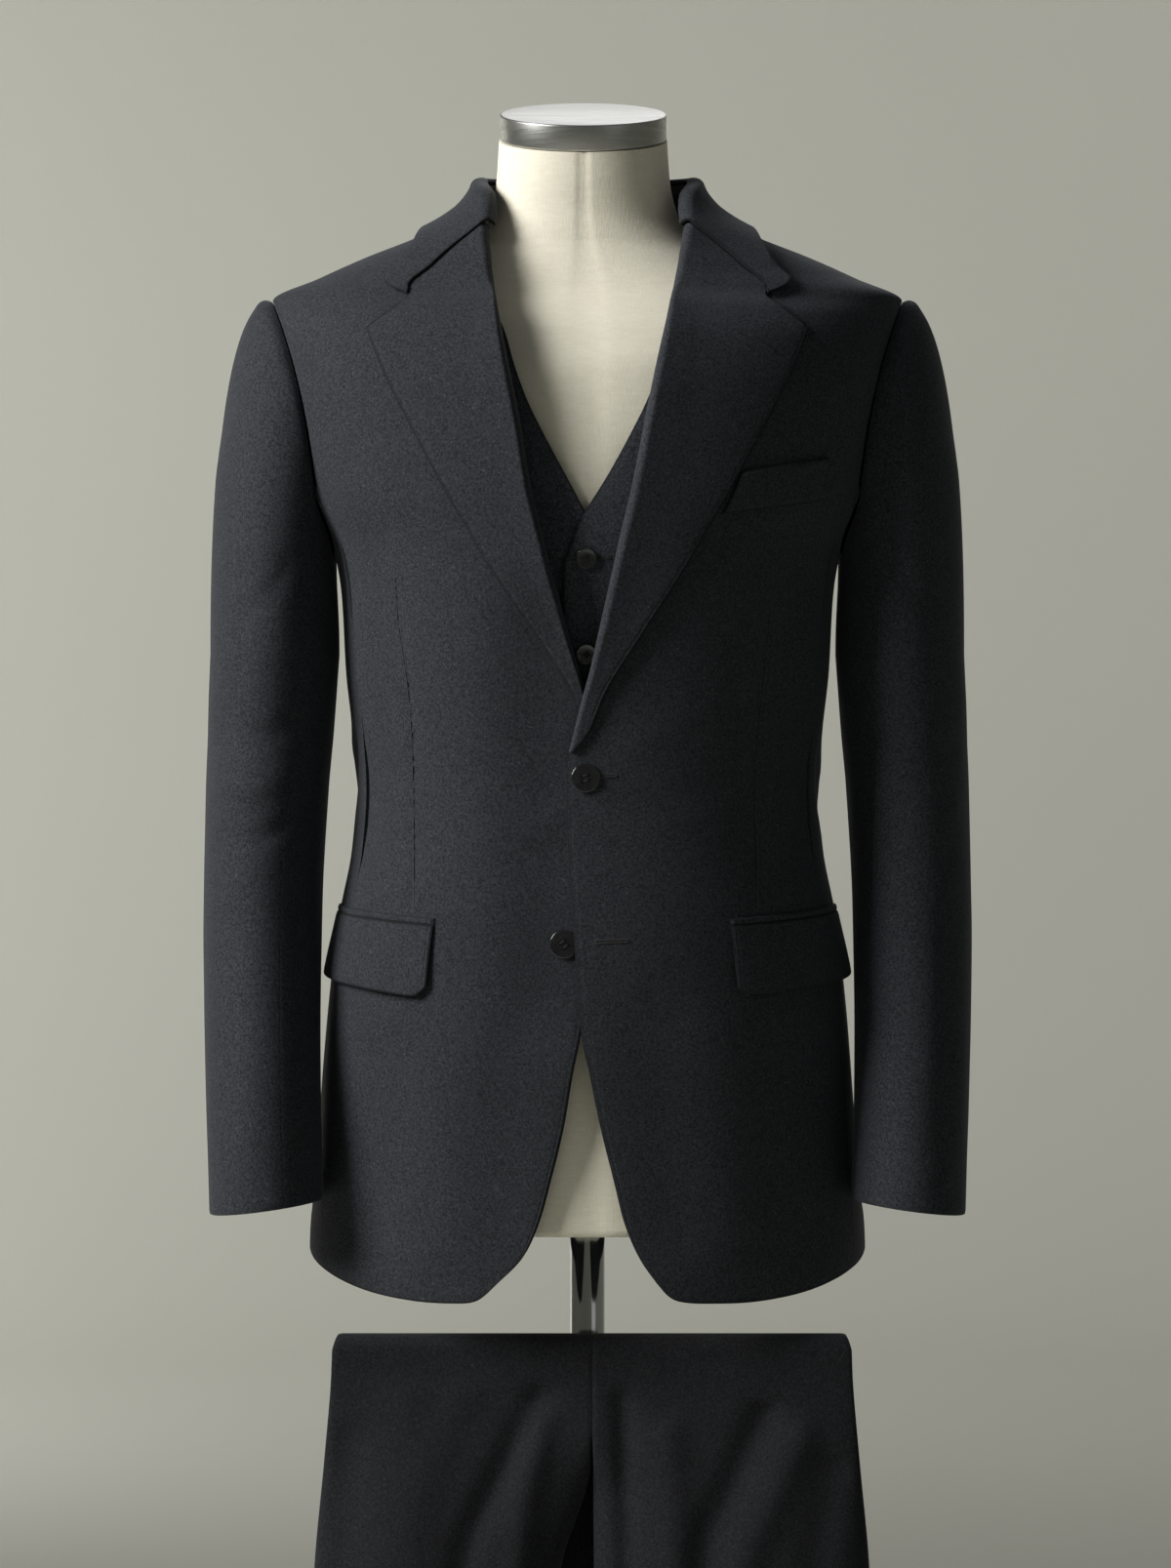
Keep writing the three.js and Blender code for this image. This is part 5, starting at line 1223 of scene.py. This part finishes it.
# pockets: flaps with jettings over front and side body, and the breast welt
pocket = {
    "start": {"left": 31.7, "right": 34.6}, "end": 86, "lie": 2.5, "drop": 46, "flare": 2.6, "flareBend": 1.3,
    "jetting": 4.6, "jettingGap": 0.3, "jettingLie": 0.9, "jettingRound": 1.1, "jettingWall": 1.0,
}
flapTop = {"along": (0, 0.5, 1), "z": (1214, 1218.5, 1222)}
flapHem = {"along": (0, 0.035, 0.1, 0.5, 1), "z": (1173, 1168.4, 1166.6, 1172, 1178)}


def foldsUnder(side, angle, x, z):
    # the fullness of front and side body below a pocket
    out = np.zeros(z.shape)
    for *line, width, height in frontLook["folds"][side]:
        out = out + ridge(x, z, line, width, height)
    beyond = smooth(jacket["underStart"], jacket["underEnd"], angle)
    return np.maximum(out, 0) * (1 - beyond) + np.maximum(arcFolds(sideLook[side], angle, z), 0) * beyond


def between(low, high):
    # the patch between two rows of places
    ends = straight(low[0], high[0]), straight(low[-1], high[-1])
    return patch(curveThrough(low), curveThrough(high), *ends)


for side in ("left", "right"):
    first = pocket["start"][side]
    hem = [[mix(first, pocket["end"], a), z] for a, z in zip(flapHem["along"], flapHem["z"])]
    top = [[mix(first, pocket["end"], a), z] for a, z in zip(flapTop["along"], flapTop["z"])]

    def flapLift(angle, z, base):
        distances = edgeDistances(base)
        hang = distances["top"] / pocket["drop"]
        out = pocket["lie"] + foldsUnder(side, angle, base[..., 0], z)
        out += pocket["flare"] * hang ** pocket["flareBend"]
        out -= edgeStitch(base, ("left", "right", "bottom"), **edgeRow)
        return out - 0.5 * bump(distances["top"], 1.6)

    flap = bodyCloth(jacketRows, between(hem, top), 64, 26, flapLift)
    clothPiece("flap" + side.title(), "flap_" + side, flap, jacket["wall"], suitWool, (152, 50, 0.93),
               restsOn=("jacketFront" + side.title(),), mirrored=side == "right",
               shadedEdges=("left", "right", "top", "bottom"), wide=1.1)
    low = [[a, z + pocket["jettingGap"]] for a, z in top]
    high = [[a, z + pocket["jetting"]] for a, z in low]

    def jetLift(angle, z, base):
        distances = edgeDistances(base)
        across = distances["bottom"] / np.maximum(distances["bottom"] + distances["top"], 0.1)
        ends = smooth(0, 2, np.minimum(distances["left"], distances["right"]))
        rounded = np.sqrt(np.clip(4 * across * (1 - across), 0, 1)) * ends
        lie = pocket["jettingLie"] + foldsUnder(side, angle, base[..., 0], z)
        return lie + pocket["jettingRound"] * rounded

    jetting = bodyCloth(jacketRows, between(low, high), 64, 10, jetLift)
    clothPiece("jetting" + side.title(), "jetting_" + side, jetting, pocket["jettingWall"], suitWool,
               (152, 14, 0.4), restsOn=("jacketFront" + side.title(),), mirrored=side == "right",
               shadedEdges=("top", "bottom"), wide=0.9)

weltCorners = ((90.5, 1492), (160.5, 1503.5), (163, 1532), (103.5, 1520.5))
weltLie = 2.4


def weltLift(angle, z, base):
    distances = edgeDistances(base)
    out = weltLie + 0.7 * bump(distances["top"] - 3, 4) - edgeStitch(base, ("left", "right"), 2.2, 0.3, 0.8)
    return out - edgeStitch(base, ("bottom",), 1.8, 0.3, 0.7) - 0.5 * bump(distances["top"], 1.2)


nearLow, farLow, farHigh, nearHigh = [lie(jacketRows, x, z) for x, z in weltCorners]
weltPlace = patch(straight(nearLow, farLow), straight(nearHigh, farHigh),
                  straight(nearLow, nearHigh), straight(farLow, farHigh))
welt = bodyCloth(jacketRows, weltPlace, 48, 22, weltLift)
clothPiece("breastWelt", "breast_welt", welt, jacket["wall"], suitWool, (82, 30, 0.95),
           restsOn=("jacketFrontLeft",), shadedEdges=("left", "right", "top", "bottom"), wide=1.1)
print("pockets made")


knownNormals = {}


def clothPoint(grid, x, z):
    # the nearest place on a finished cloth in front, and its normal
    if id(grid) not in knownNormals:
        knownNormals[id(grid)] = gridNormals(grid).reshape(-1, 3)
    points, normals = grid.reshape(-1, 3), knownNormals[id(grid)]
    gap = np.hypot(points[:, 0] - x, points[:, 2] - z) + np.where(points[:, 1] < 0, 0, 1000)
    near = np.argsort(gap)[:4]
    weight = 1 / (gap[near] + 0.05)
    weight /= weight.sum()
    normal = unit((normals[near] * weight[:, None]).sum(0))
    return np.array([x, float((points[near, 1] * weight).sum()), z]), normal


def tubeMesh(name, path, normals, radius, finish, closed=True, flatness=0.8, twist=0.0):
    # a sewn thread, or a dark strip of painted shade, laid along a path; twist is the stitch pitch, which
    # swells it in beads
    path, normals = np.asarray(path), np.asarray(normals)
    ahead = np.roll(path, -1, 0) - np.roll(path, 1, 0) if closed else np.gradient(path, axis=0)
    sideways = unit(np.cross(unit(ahead), normals))
    run = np.concatenate([[0], np.cumsum(np.linalg.norm(np.diff(path, axis=0), axis=1))])
    size = radius * (1 + (0.22 * np.sin(2 * np.pi * run / twist) if twist else 0 * run))
    steps = 8
    turns = 2 * np.pi * np.arange(steps) / steps
    ring = (np.cos(turns)[None, :, None] * sideways[:, None]
            + flatness * np.sin(turns)[None, :, None] * normals[:, None])
    points = (path[:, None] + ring * size[:, None, None]).reshape(-1, 3)
    count = len(path)
    faces = []
    for r in range(count if closed else count - 1):
        for c in range(steps):
            a, b = r * steps + c, r * steps + (c + 1) % steps
            e, d = (a + steps) % (count * steps), (b + steps) % (count * steps)
            faces.append((a, e, d, b))
    if not closed:
        faces.append(tuple(range(steps)))
        faces.append(tuple(reversed(range((count - 1) * steps, count * steps))))
    return finishMesh(name, points, faces, finish, 80)


def sewnPiece(piece):
    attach(piece, "root")
    return piece


def onCloth(grid, spots, out, side="left"):
    # a line of places on a cloth, moved out, with its normals
    places = [clothPoint(grid, *spot) for spot in spots]
    path = [(point + normal * out) * flips[side] for point, normal in places]
    return path, [normal * flips[side] for point, normal in places]


def buttonhole(name, grid, start, end, half=1.0, thread=0.55, eye=1.8):
    # a stitched rim round a cut, with a rounder eye at its first end; a dark strip along the cut is painted
    # shade in the slit
    start, end = np.array(start, float), np.array(end, float)
    way = (end - start) / np.linalg.norm(end - start)
    across = np.array([-way[1], way[0]])
    length = np.linalg.norm(end - start)
    outline = []
    for k in range(150):
        t = k / 150 * 2 * math.pi
        along = length / 2 * (1 - math.copysign(abs(math.cos(t)) ** 0.45, math.cos(t)))
        wide = half + (eye - half) * math.exp(-((along / 2.2) ** 2))
        wide *= math.copysign(abs(math.sin(t)) ** 0.5, math.sin(t))
        outline.append(start + way * along + across * wide)
    middle = [start + way * s for s in np.linspace(0.3, length - 0.3, 24)]
    path, up = onCloth(grid, outline, 0.15)
    sewnPiece(tubeMesh(name + "Rim", path, up, thread, sewingThread, True, 0.75, 0.95))
    # the slit: a dark strip of painted shade
    path, up = onCloth(grid, middle, 0.12)
    sewnPiece(tubeMesh(name + "Cut", path, up, half * 0.75, shadowThread, False, 0.4))


# along each dart a dark strip is laid: painted shade in the dart's fold
for side in ("left", "right"):
    line = curveThrough(frontLook["dart" + side.title()])(np.linspace(0, 1, 90))
    path, up = onCloth(fronts[side], line, 0.02, side)
    sewnPiece(tubeMesh("dartSeam" + side.title(), path, up, 0.5, shadowThread, False, 0.5))
buttonhole("jacketHoleTop", fronts["left"], (-2, 1315.4), (19.8, 1315.8))
buttonhole("jacketHoleLow", fronts["left"], (5.4, 1203.6), (27.4, 1204.4))
buttonhole("lapelHole", lapels["left"], (125.4, 1602.7), (109.6, 1613.3), half=0.6, thread=0.42, eye=0.7)
vestButtonHeights = [1462 - 64.4 * i for i in range(5)]
for number, height in enumerate(vestButtonHeights):
    buttonhole(f"waistcoatHole{number + 1}", vestFronts["left"], (0, height), (15.5, height + 0.3),
               half=0.7, thread=0.45)
print("buttonholes made")

buttonLook = {
    "jacket": {"diameter": 19.5, "thick": 3.4, "rim": 2.5, "dish": 1.4, "hole": 1.15, "spread": 2.6},
    "waistcoat": {"diameter": 14.0, "thick": 2.9, "rim": 2.0, "dish": 0.7, "hole": 0.8, "spread": 1.45},
    "cuff": {"diameter": 14.0, "thick": 2.6, "rim": 2.0, "dish": 0.6, "hole": 0.8, "spread": 1.45},
}
holeShare = 1.4
buttonBevel = 0.7
threadRadius = 0.42
buttonSeat = 0.4


def selectFaces(piece, wanted):
    for polygon in piece.data.polygons:
        polygon.select = wanted(polygon)


def applyModifiers(piece):
    bpy.context.view_layer.objects.active = piece
    for modifier in list(piece.modifiers):
        bpy.ops.object.modifier_apply(modifier=modifier.name)


def softenEdges(piece, width, segments, angle=30):
    bevel = piece.modifiers.new("softEdges", "BEVEL")
    bevel.width, bevel.segments = width * mm, segments
    bevel.limit_method, bevel.angle_limit = "ANGLE", math.radians(angle)
    applyModifiers(piece)


def buttonPattern(kind):
    # a dished button with a raised rim and four drilled holes, lying on its back at the origin
    look = {key: value * mm for key, value in buttonLook[kind].items()}
    bpy.ops.object.select_all(action="DESELECT")
    bpy.ops.mesh.primitive_cylinder_add(vertices=56, radius=look["diameter"] / 2, depth=look["thick"],
                                        location=(0, 0, look["thick"] / 2))
    button = bpy.context.object
    bpy.ops.object.transform_apply(location=True)
    selectFaces(button, lambda face: face.normal.z > 0.9)
    bpy.ops.object.mode_set(mode="EDIT")
    bpy.ops.mesh.select_mode(type="FACE")
    bpy.ops.mesh.inset(thickness=look["rim"])
    bpy.ops.transform.translate(value=(0, 0, -look["dish"]))
    bpy.ops.mesh.inset(thickness=look["rim"] * 0.35)
    bpy.ops.transform.translate(value=(0, 0, -look["dish"] * 0.25))
    bpy.ops.object.mode_set(mode="OBJECT")
    softenEdges(button, buttonBevel, 4, 28)
    for x, y in ((1, 1), (1, -1), (-1, 1), (-1, -1)):
        bpy.ops.object.select_all(action="DESELECT")
        spot = (x * look["spread"] / holeShare, y * look["spread"] / holeShare, look["thick"] / 2)
        bpy.ops.mesh.primitive_cylinder_add(vertices=20, radius=look["hole"], depth=look["thick"] * 3,
                                            location=spot)
        drill = bpy.context.object
        cut = button.modifiers.new("hole", "BOOLEAN")
        cut.operation, cut.object, cut.solver = "DIFFERENCE", drill, "EXACT"
        applyModifiers(button)
        bpy.data.objects.remove(drill)
    button.data.materials.clear()
    button.data.materials.append(buttonHorn)
    button.data.polygons.foreach_set("use_smooth", [True] * len(button.data.polygons))
    button.data.set_sharp_from_angle(angle=math.radians(32))
    return button


def threadPattern(kind):
    # the stitches between the four holes
    look = buttonLook[kind]
    reach, level = look["spread"] / holeShare, look["thick"] - look["dish"] * 1.25
    points = []
    for sign in (1, -1):
        s = np.linspace(-1.15, 1.15, 15)
        height = level + 0.65 * np.sqrt(np.clip(1 - (s / 1.2) ** 2, 0, 1)) - 0.35
        points.append(np.stack([s * reach, s * 0 + sign * reach, height], -1))
    return points


patterns = {kind: buttonPattern(kind) for kind in buttonLook}


def sewButton(kind, name, node, point, normal, turn):
    # a copy of a pattern with its own mesh, set on the cloth and sewn down
    facing = Vector(normal).to_track_quat("Z", "Y").to_matrix().to_4x4()
    turned = facing @ Matrix.Rotation(math.radians(turn), 4, "Z")
    button = bpy.data.objects.new(name, patterns[kind].data.copy())
    bpy.context.collection.objects.link(button)
    button.data.transform(Matrix.Translation(Vector(point) * mm) @ turned)
    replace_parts(sewnPiece(button), node)
    matrix = Matrix.Translation(Vector(point)) @ turned
    for number, line in enumerate(threadPattern(kind)):
        path = [np.array(matrix @ Vector(spot)) for spot in line]
        up = [np.array(facing @ Vector((0, 0, 1)))] * len(path)
        sewnPiece(tubeMesh(f"{name}Thread{number + 1}", path, up, threadRadius, sewingThread,
                           False, 1.0, 0.6))


spot, out = clothPoint(fronts["left"], -1.3, 1314)
sewButton("jacket", "jacketButtonTop", "jacket_button_top", spot + out * buttonSeat, out, 12)
spot, out = clothPoint(fronts["right"], 15.8, 1202)
flip = flips["right"]
sewButton("jacket", "jacketButtonLow", "jacket_button_low", (spot + out * buttonSeat) * flip, out * flip, 38)
for number, height in enumerate(vestButtonHeights):
    spot, out = clothPoint(vestFronts["left"], -0.7, height)
    sewButton("waistcoat", f"waistcoatButton{number + 1}", f"waistcoat_button_{number + 1}",
              spot, out, 20 + 25 * number)
cuffRow = {"turn": -82, "low": 1042, "pitch": 16, "count": 4}
for side, flip in flips.items():
    for number in range(cuffRow["count"]):
        turn, z = cuffRow["turn"], cuffRow["low"] + cuffRow["pitch"] * number
        across = sleeveRing(turn + 2, z) - sleeveRing(turn - 2, z)
        along = sleeveRing(turn, z - 2) - sleeveRing(turn, z + 2)
        out = unit(np.cross(across, along))
        spot = sleeveRing(turn, z) + out * buttonSeat
        sewButton("cuff", f"cuffButton{side.title()}{number + 1}", f"cuff_button_{side}_{number + 1}",
                  spot * flip, out * flip, 15 * number)
for pattern in patterns.values():
    bpy.data.objects.remove(pattern)
print("buttons made")

# the form, its cap, and the stand
formLook = {
    "bottom": 1003, "shoulder": 1600, "neck": 1735, "top": 1768, "middle": 4, "columns": 132,
    "neckShift": -3, "shiftFrom": 1646, "shiftTo": 1709, "seamDepth": 1.3, "seamWidth": 1.6, "turnIn": 0.985,
}
capLook = {"diameter": 116, "thick": 18, "tilt": 15, "edge": 1.2, "gap": 0.4}
standLook = {
    "pole": 24, "poleLow": 8.4, "poleHigh": 1002.6, "poleEdge": 0.5,
    "boss": 24, "bossTop": 42.4, "bossEdge": 1.2, "bossFlare": 1.28,
    "base": 380, "baseThick": 8, "baseEdge": 1.6,
    "clamp": 20, "clampLow": 716, "clampHigh": 748, "clampEdge": 1.0,
}
tilt = math.radians(capLook["tilt"])
capUp = np.array([0.0, -math.sin(tilt), math.cos(tilt)])


def formMesh():
    # one smooth canvas body with a seam down its front and back, closed below and under the cap
    look, count = formLook, formLook["columns"]
    angle = 360 * np.arange(count) / count
    body = np.linspace(look["bottom"], look["shoulder"], 120, endpoint=False)
    rings = []
    for z in np.concatenate([body, np.linspace(look["shoulder"], look["neck"], 60)]):
        ring = ringPoint(formRows, angle, np.full(count, z))
        ring[:, 0] += look["neckShift"] * smooth(look["shiftFrom"], look["shiftTo"], z)
        rings.append(ring)
    level = look["top"] - capLook["thick"] / 2
    top = ringPoint(formRows, angle, np.full(count, level))
    top[:, 2] = level + (top[:, 1] - look["middle"]) * math.tan(tilt)
    top[:, 0] += look["neckShift"]
    neck = rings[-1]
    rings += [mix(neck, top, share) for share in np.linspace(0, 1, 14)[1:]]
    points = np.stack(rings)
    middle = points.copy()
    middle[..., :2] = points[..., :2].mean(1, keepdims=True)
    seam = sum(bump(points[..., 0] - points[:, c:c + 1, 0], look["seamWidth"]) for c in (0, count // 2))
    points -= unit(points - middle) * (look["seamDepth"] * np.minimum(seam, 1))[..., None]
    low = points[:1] * np.array([look["turnIn"], look["turnIn"], 1.0])
    points[0, :, 2] += 2.0
    points = np.concatenate([low, points])
    rows = len(points)
    faces = []
    for r in range(0, (rows - 1) * count, count):
        for c in range(count):
            n = (c + 1) % count
            faces.append((r + c, r + n, r + count + n, r + count + c))
    faces.append(tuple(range(count - 1, -1, -1)))
    faces.append(tuple(range((rows - 1) * count, rows * count)))
    return points.reshape(-1, 3), faces


points, faces = formMesh()
form = finishMesh("formTorso", points, faces, formCanvas, 40)
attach(form, "root")
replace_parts(form, "form_torso")


def turnedPiece(name, radius, low, high, edge, vertices=96):
    # an upright cylinder with softened edges
    bpy.ops.object.select_all(action="DESELECT")
    bpy.ops.mesh.primitive_cylinder_add(vertices=vertices, radius=radius * mm, depth=(high - low) * mm,
                                        location=(0, 0, (high + low) / 2 * mm))
    piece = bpy.context.object
    piece.name = name
    bpy.ops.object.transform_apply(location=True)
    softenEdges(piece, edge, 4)
    return piece


def hardPiece(piece, node, finish):
    piece.data.materials.clear()
    piece.data.materials.append(finish)
    piece.data.polygons.foreach_set("use_smooth", [True] * len(piece.data.polygons))
    piece.data.set_sharp_from_angle(angle=math.radians(30))
    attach(piece, "root")
    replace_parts(piece, node)


cap = turnedPiece("neckCap", capLook["diameter"] / 2, 0, capLook["thick"], capLook["edge"], 160)
capBase = np.array([formLook["neckShift"], formLook["middle"], formLook["top"] - capLook["thick"] / 2])
capBase += capUp * capLook["gap"]
cap.data.transform(Matrix.Translation(Vector(capBase) * mm) @ Matrix.Rotation(tilt, 4, "X"))
hardPiece(cap, "neck_cap", brushedSide)
cap.data.materials.append(brushedTop)
for face in cap.data.polygons:
    face.material_index = 1 if face.normal.dot(Vector(capUp)) > 0.95 else 0

pole = turnedPiece("pole", standLook["pole"] / 2, standLook["poleLow"], standLook["poleHigh"],
                   standLook["poleEdge"], 64)
hardPiece(pole, "pole", chromeSteel)
plate = turnedPiece("basePlate", standLook["base"] / 2, 0, standLook["baseThick"], standLook["baseEdge"], 180)
hardPiece(plate, "base_plate", brushedTop)
boss = turnedPiece("poleBoss", standLook["boss"], standLook["poleLow"], standLook["bossTop"],
                   standLook["bossEdge"], 72)
bpy.ops.object.select_all(action="DESELECT")
boss.select_set(True)
bpy.context.view_layer.objects.active = boss
selectFaces(boss, lambda face: face.normal.z < -0.9)
bpy.ops.object.mode_set(mode="EDIT")
bpy.ops.mesh.select_mode(type="FACE")
bpy.ops.transform.resize(value=(standLook["bossFlare"], standLook["bossFlare"], 1))
bpy.ops.object.mode_set(mode="OBJECT")
hardPiece(boss, "pole_boss", chromeSteel)
clamp = turnedPiece("barClamp", standLook["clamp"], standLook["clampLow"], standLook["clampHigh"],
                    standLook["clampEdge"], 72)
hardPiece(clamp, "bar_clamp", chromeSteel)

rail = turnedPiece("trouserBar", bar["radius"], -bar["length"] / 2, bar["length"] / 2, bar["edge"], 40)
rail.data.transform(Matrix.Translation(Vector((bar["centre"], bar["y"], bar["z"])) * mm)
                    @ Matrix.Rotation(math.pi / 2, 4, "Y"))
hardPiece(rail, "trouser_bar", chromeSteel)
for item in bpy.data.objects:
    if item.type == "MESH" and "bar_bracket" in item.name:
        for slot in item.material_slots:
            slot.link = "OBJECT"
            slot.material = chromeSteel
print("stand made")

# a round studio: pale floor that turns up into a pale wall
studio = {"floor": 8.2, "cove": 2.6, "wall": 6.0, "steps": 96}
stageLook = {"colour": (0.60, 0.60, 0.535), "rough": 0.9}


def stageFinish(name, look):
    finish, shader, wire = newFinish(name, {"Specular IOR Level": 0.15})
    where = wire.node("TexCoord", output="Object")
    cloud = wire.noise(where, 0.5, 2.0)
    pale = look["colour"]
    plug(wire.blend(cloud, pale, tuple(c * 0.96 for c in pale)), shader, "Base Color")
    plug(cloud * 0.05 + look["rough"], shader, "Roughness")
    return finish


def studioMesh():
    flat, cove, steps = studio["floor"], studio["cove"], studio["steps"]
    profile = [(r, 0.0) for r in np.linspace(0.2, flat, 12)]
    for t in np.linspace(0, math.pi / 2, 16)[1:]:
        profile.append((flat + cove * math.sin(t), cove * (1 - math.cos(t))))
    profile += [(flat + cove, cove + z) for z in np.linspace(0.5, studio["wall"], 6)]
    points = [(r * math.cos(2 * math.pi * k / steps), r * math.sin(2 * math.pi * k / steps), z)
              for r, z in profile for k in range(steps)]
    faces = [tuple(range(steps))]
    for r in range(len(profile) - 1):
        for k in range(steps):
            n = (k + 1) % steps
            faces.append(((r + 1) * steps + k, (r + 1) * steps + n, r * steps + n, r * steps + k))
    return np.array(points) / mm, faces


points, faces = studioMesh()
floor = finishMesh("studioFloor", points, faces, stageFinish("palePaint", stageLook), 60)


def softLight(name, place, target, size, power, colour):
    light = bpy.data.lights.new(name, "AREA")
    light.shape, light.size, light.size_y = "RECTANGLE", size[0], size[1]
    light.energy, light.color = power, colour
    lamp = bpy.data.objects.new(name, light)
    bpy.context.collection.objects.link(lamp)
    lamp.location = place
    lamp.rotation_euler = (Vector(target) - Vector(place)).to_track_quat("-Z", "Y").to_euler()
    lamp.visible_camera = False


# each light's place, the point it faces, its size, power and colour
lights = {
    "keyLeft": ((-2.4, -1.0, 2.75), (0, 0, 1.5), (1.1, 1.5), 128, (1.0, 0.99, 0.97)),
    "fillRight": ((3.4, -3.8, 2.0), (0, 0, 1.2), (2.4, 2.4), 4, (0.97, 0.98, 1.0)),
    "topBack": ((0.6, 2.6, 3.8), (0, 0, 1.5), (2.0, 2.0), 16, (1, 1, 1)),
    "wallLeft": ((-4.5, 5.4, 2.6), (-3.4, 10.6, 1.4), (3.0, 3.0), 235, (1, 1, 1)),
    "wallRight": ((3.4, 5.4, 4.8), (2.2, 10.6, 3.8), (3.0, 3.0), 70, (1, 1, 1)),
}
for name, values in lights.items():
    softLight(name, *values)
world = bpy.data.worlds.new("studioAir")
world.use_nodes = True
world.node_tree.nodes["Background"].inputs[0].default_value = (0.93, 0.95, 1.0, 1)
world.node_tree.nodes["Background"].inputs[1].default_value = 0.10
bpy.context.scene.world = world

camera = bpy.data.cameras.new("camera")
camera.sensor_width = 36
camera.lens = 118.6
eye = bpy.data.objects.new("camera", camera)
bpy.context.collection.objects.link(eye)
eye.location = (-0.00136, -3.6, 1.310)
eye.rotation_euler = (math.pi / 2, 0, 0)
bpy.context.scene.camera = eye
bpy.context.scene.view_settings.view_transform = "Standard"

print("stage, lights and camera made")
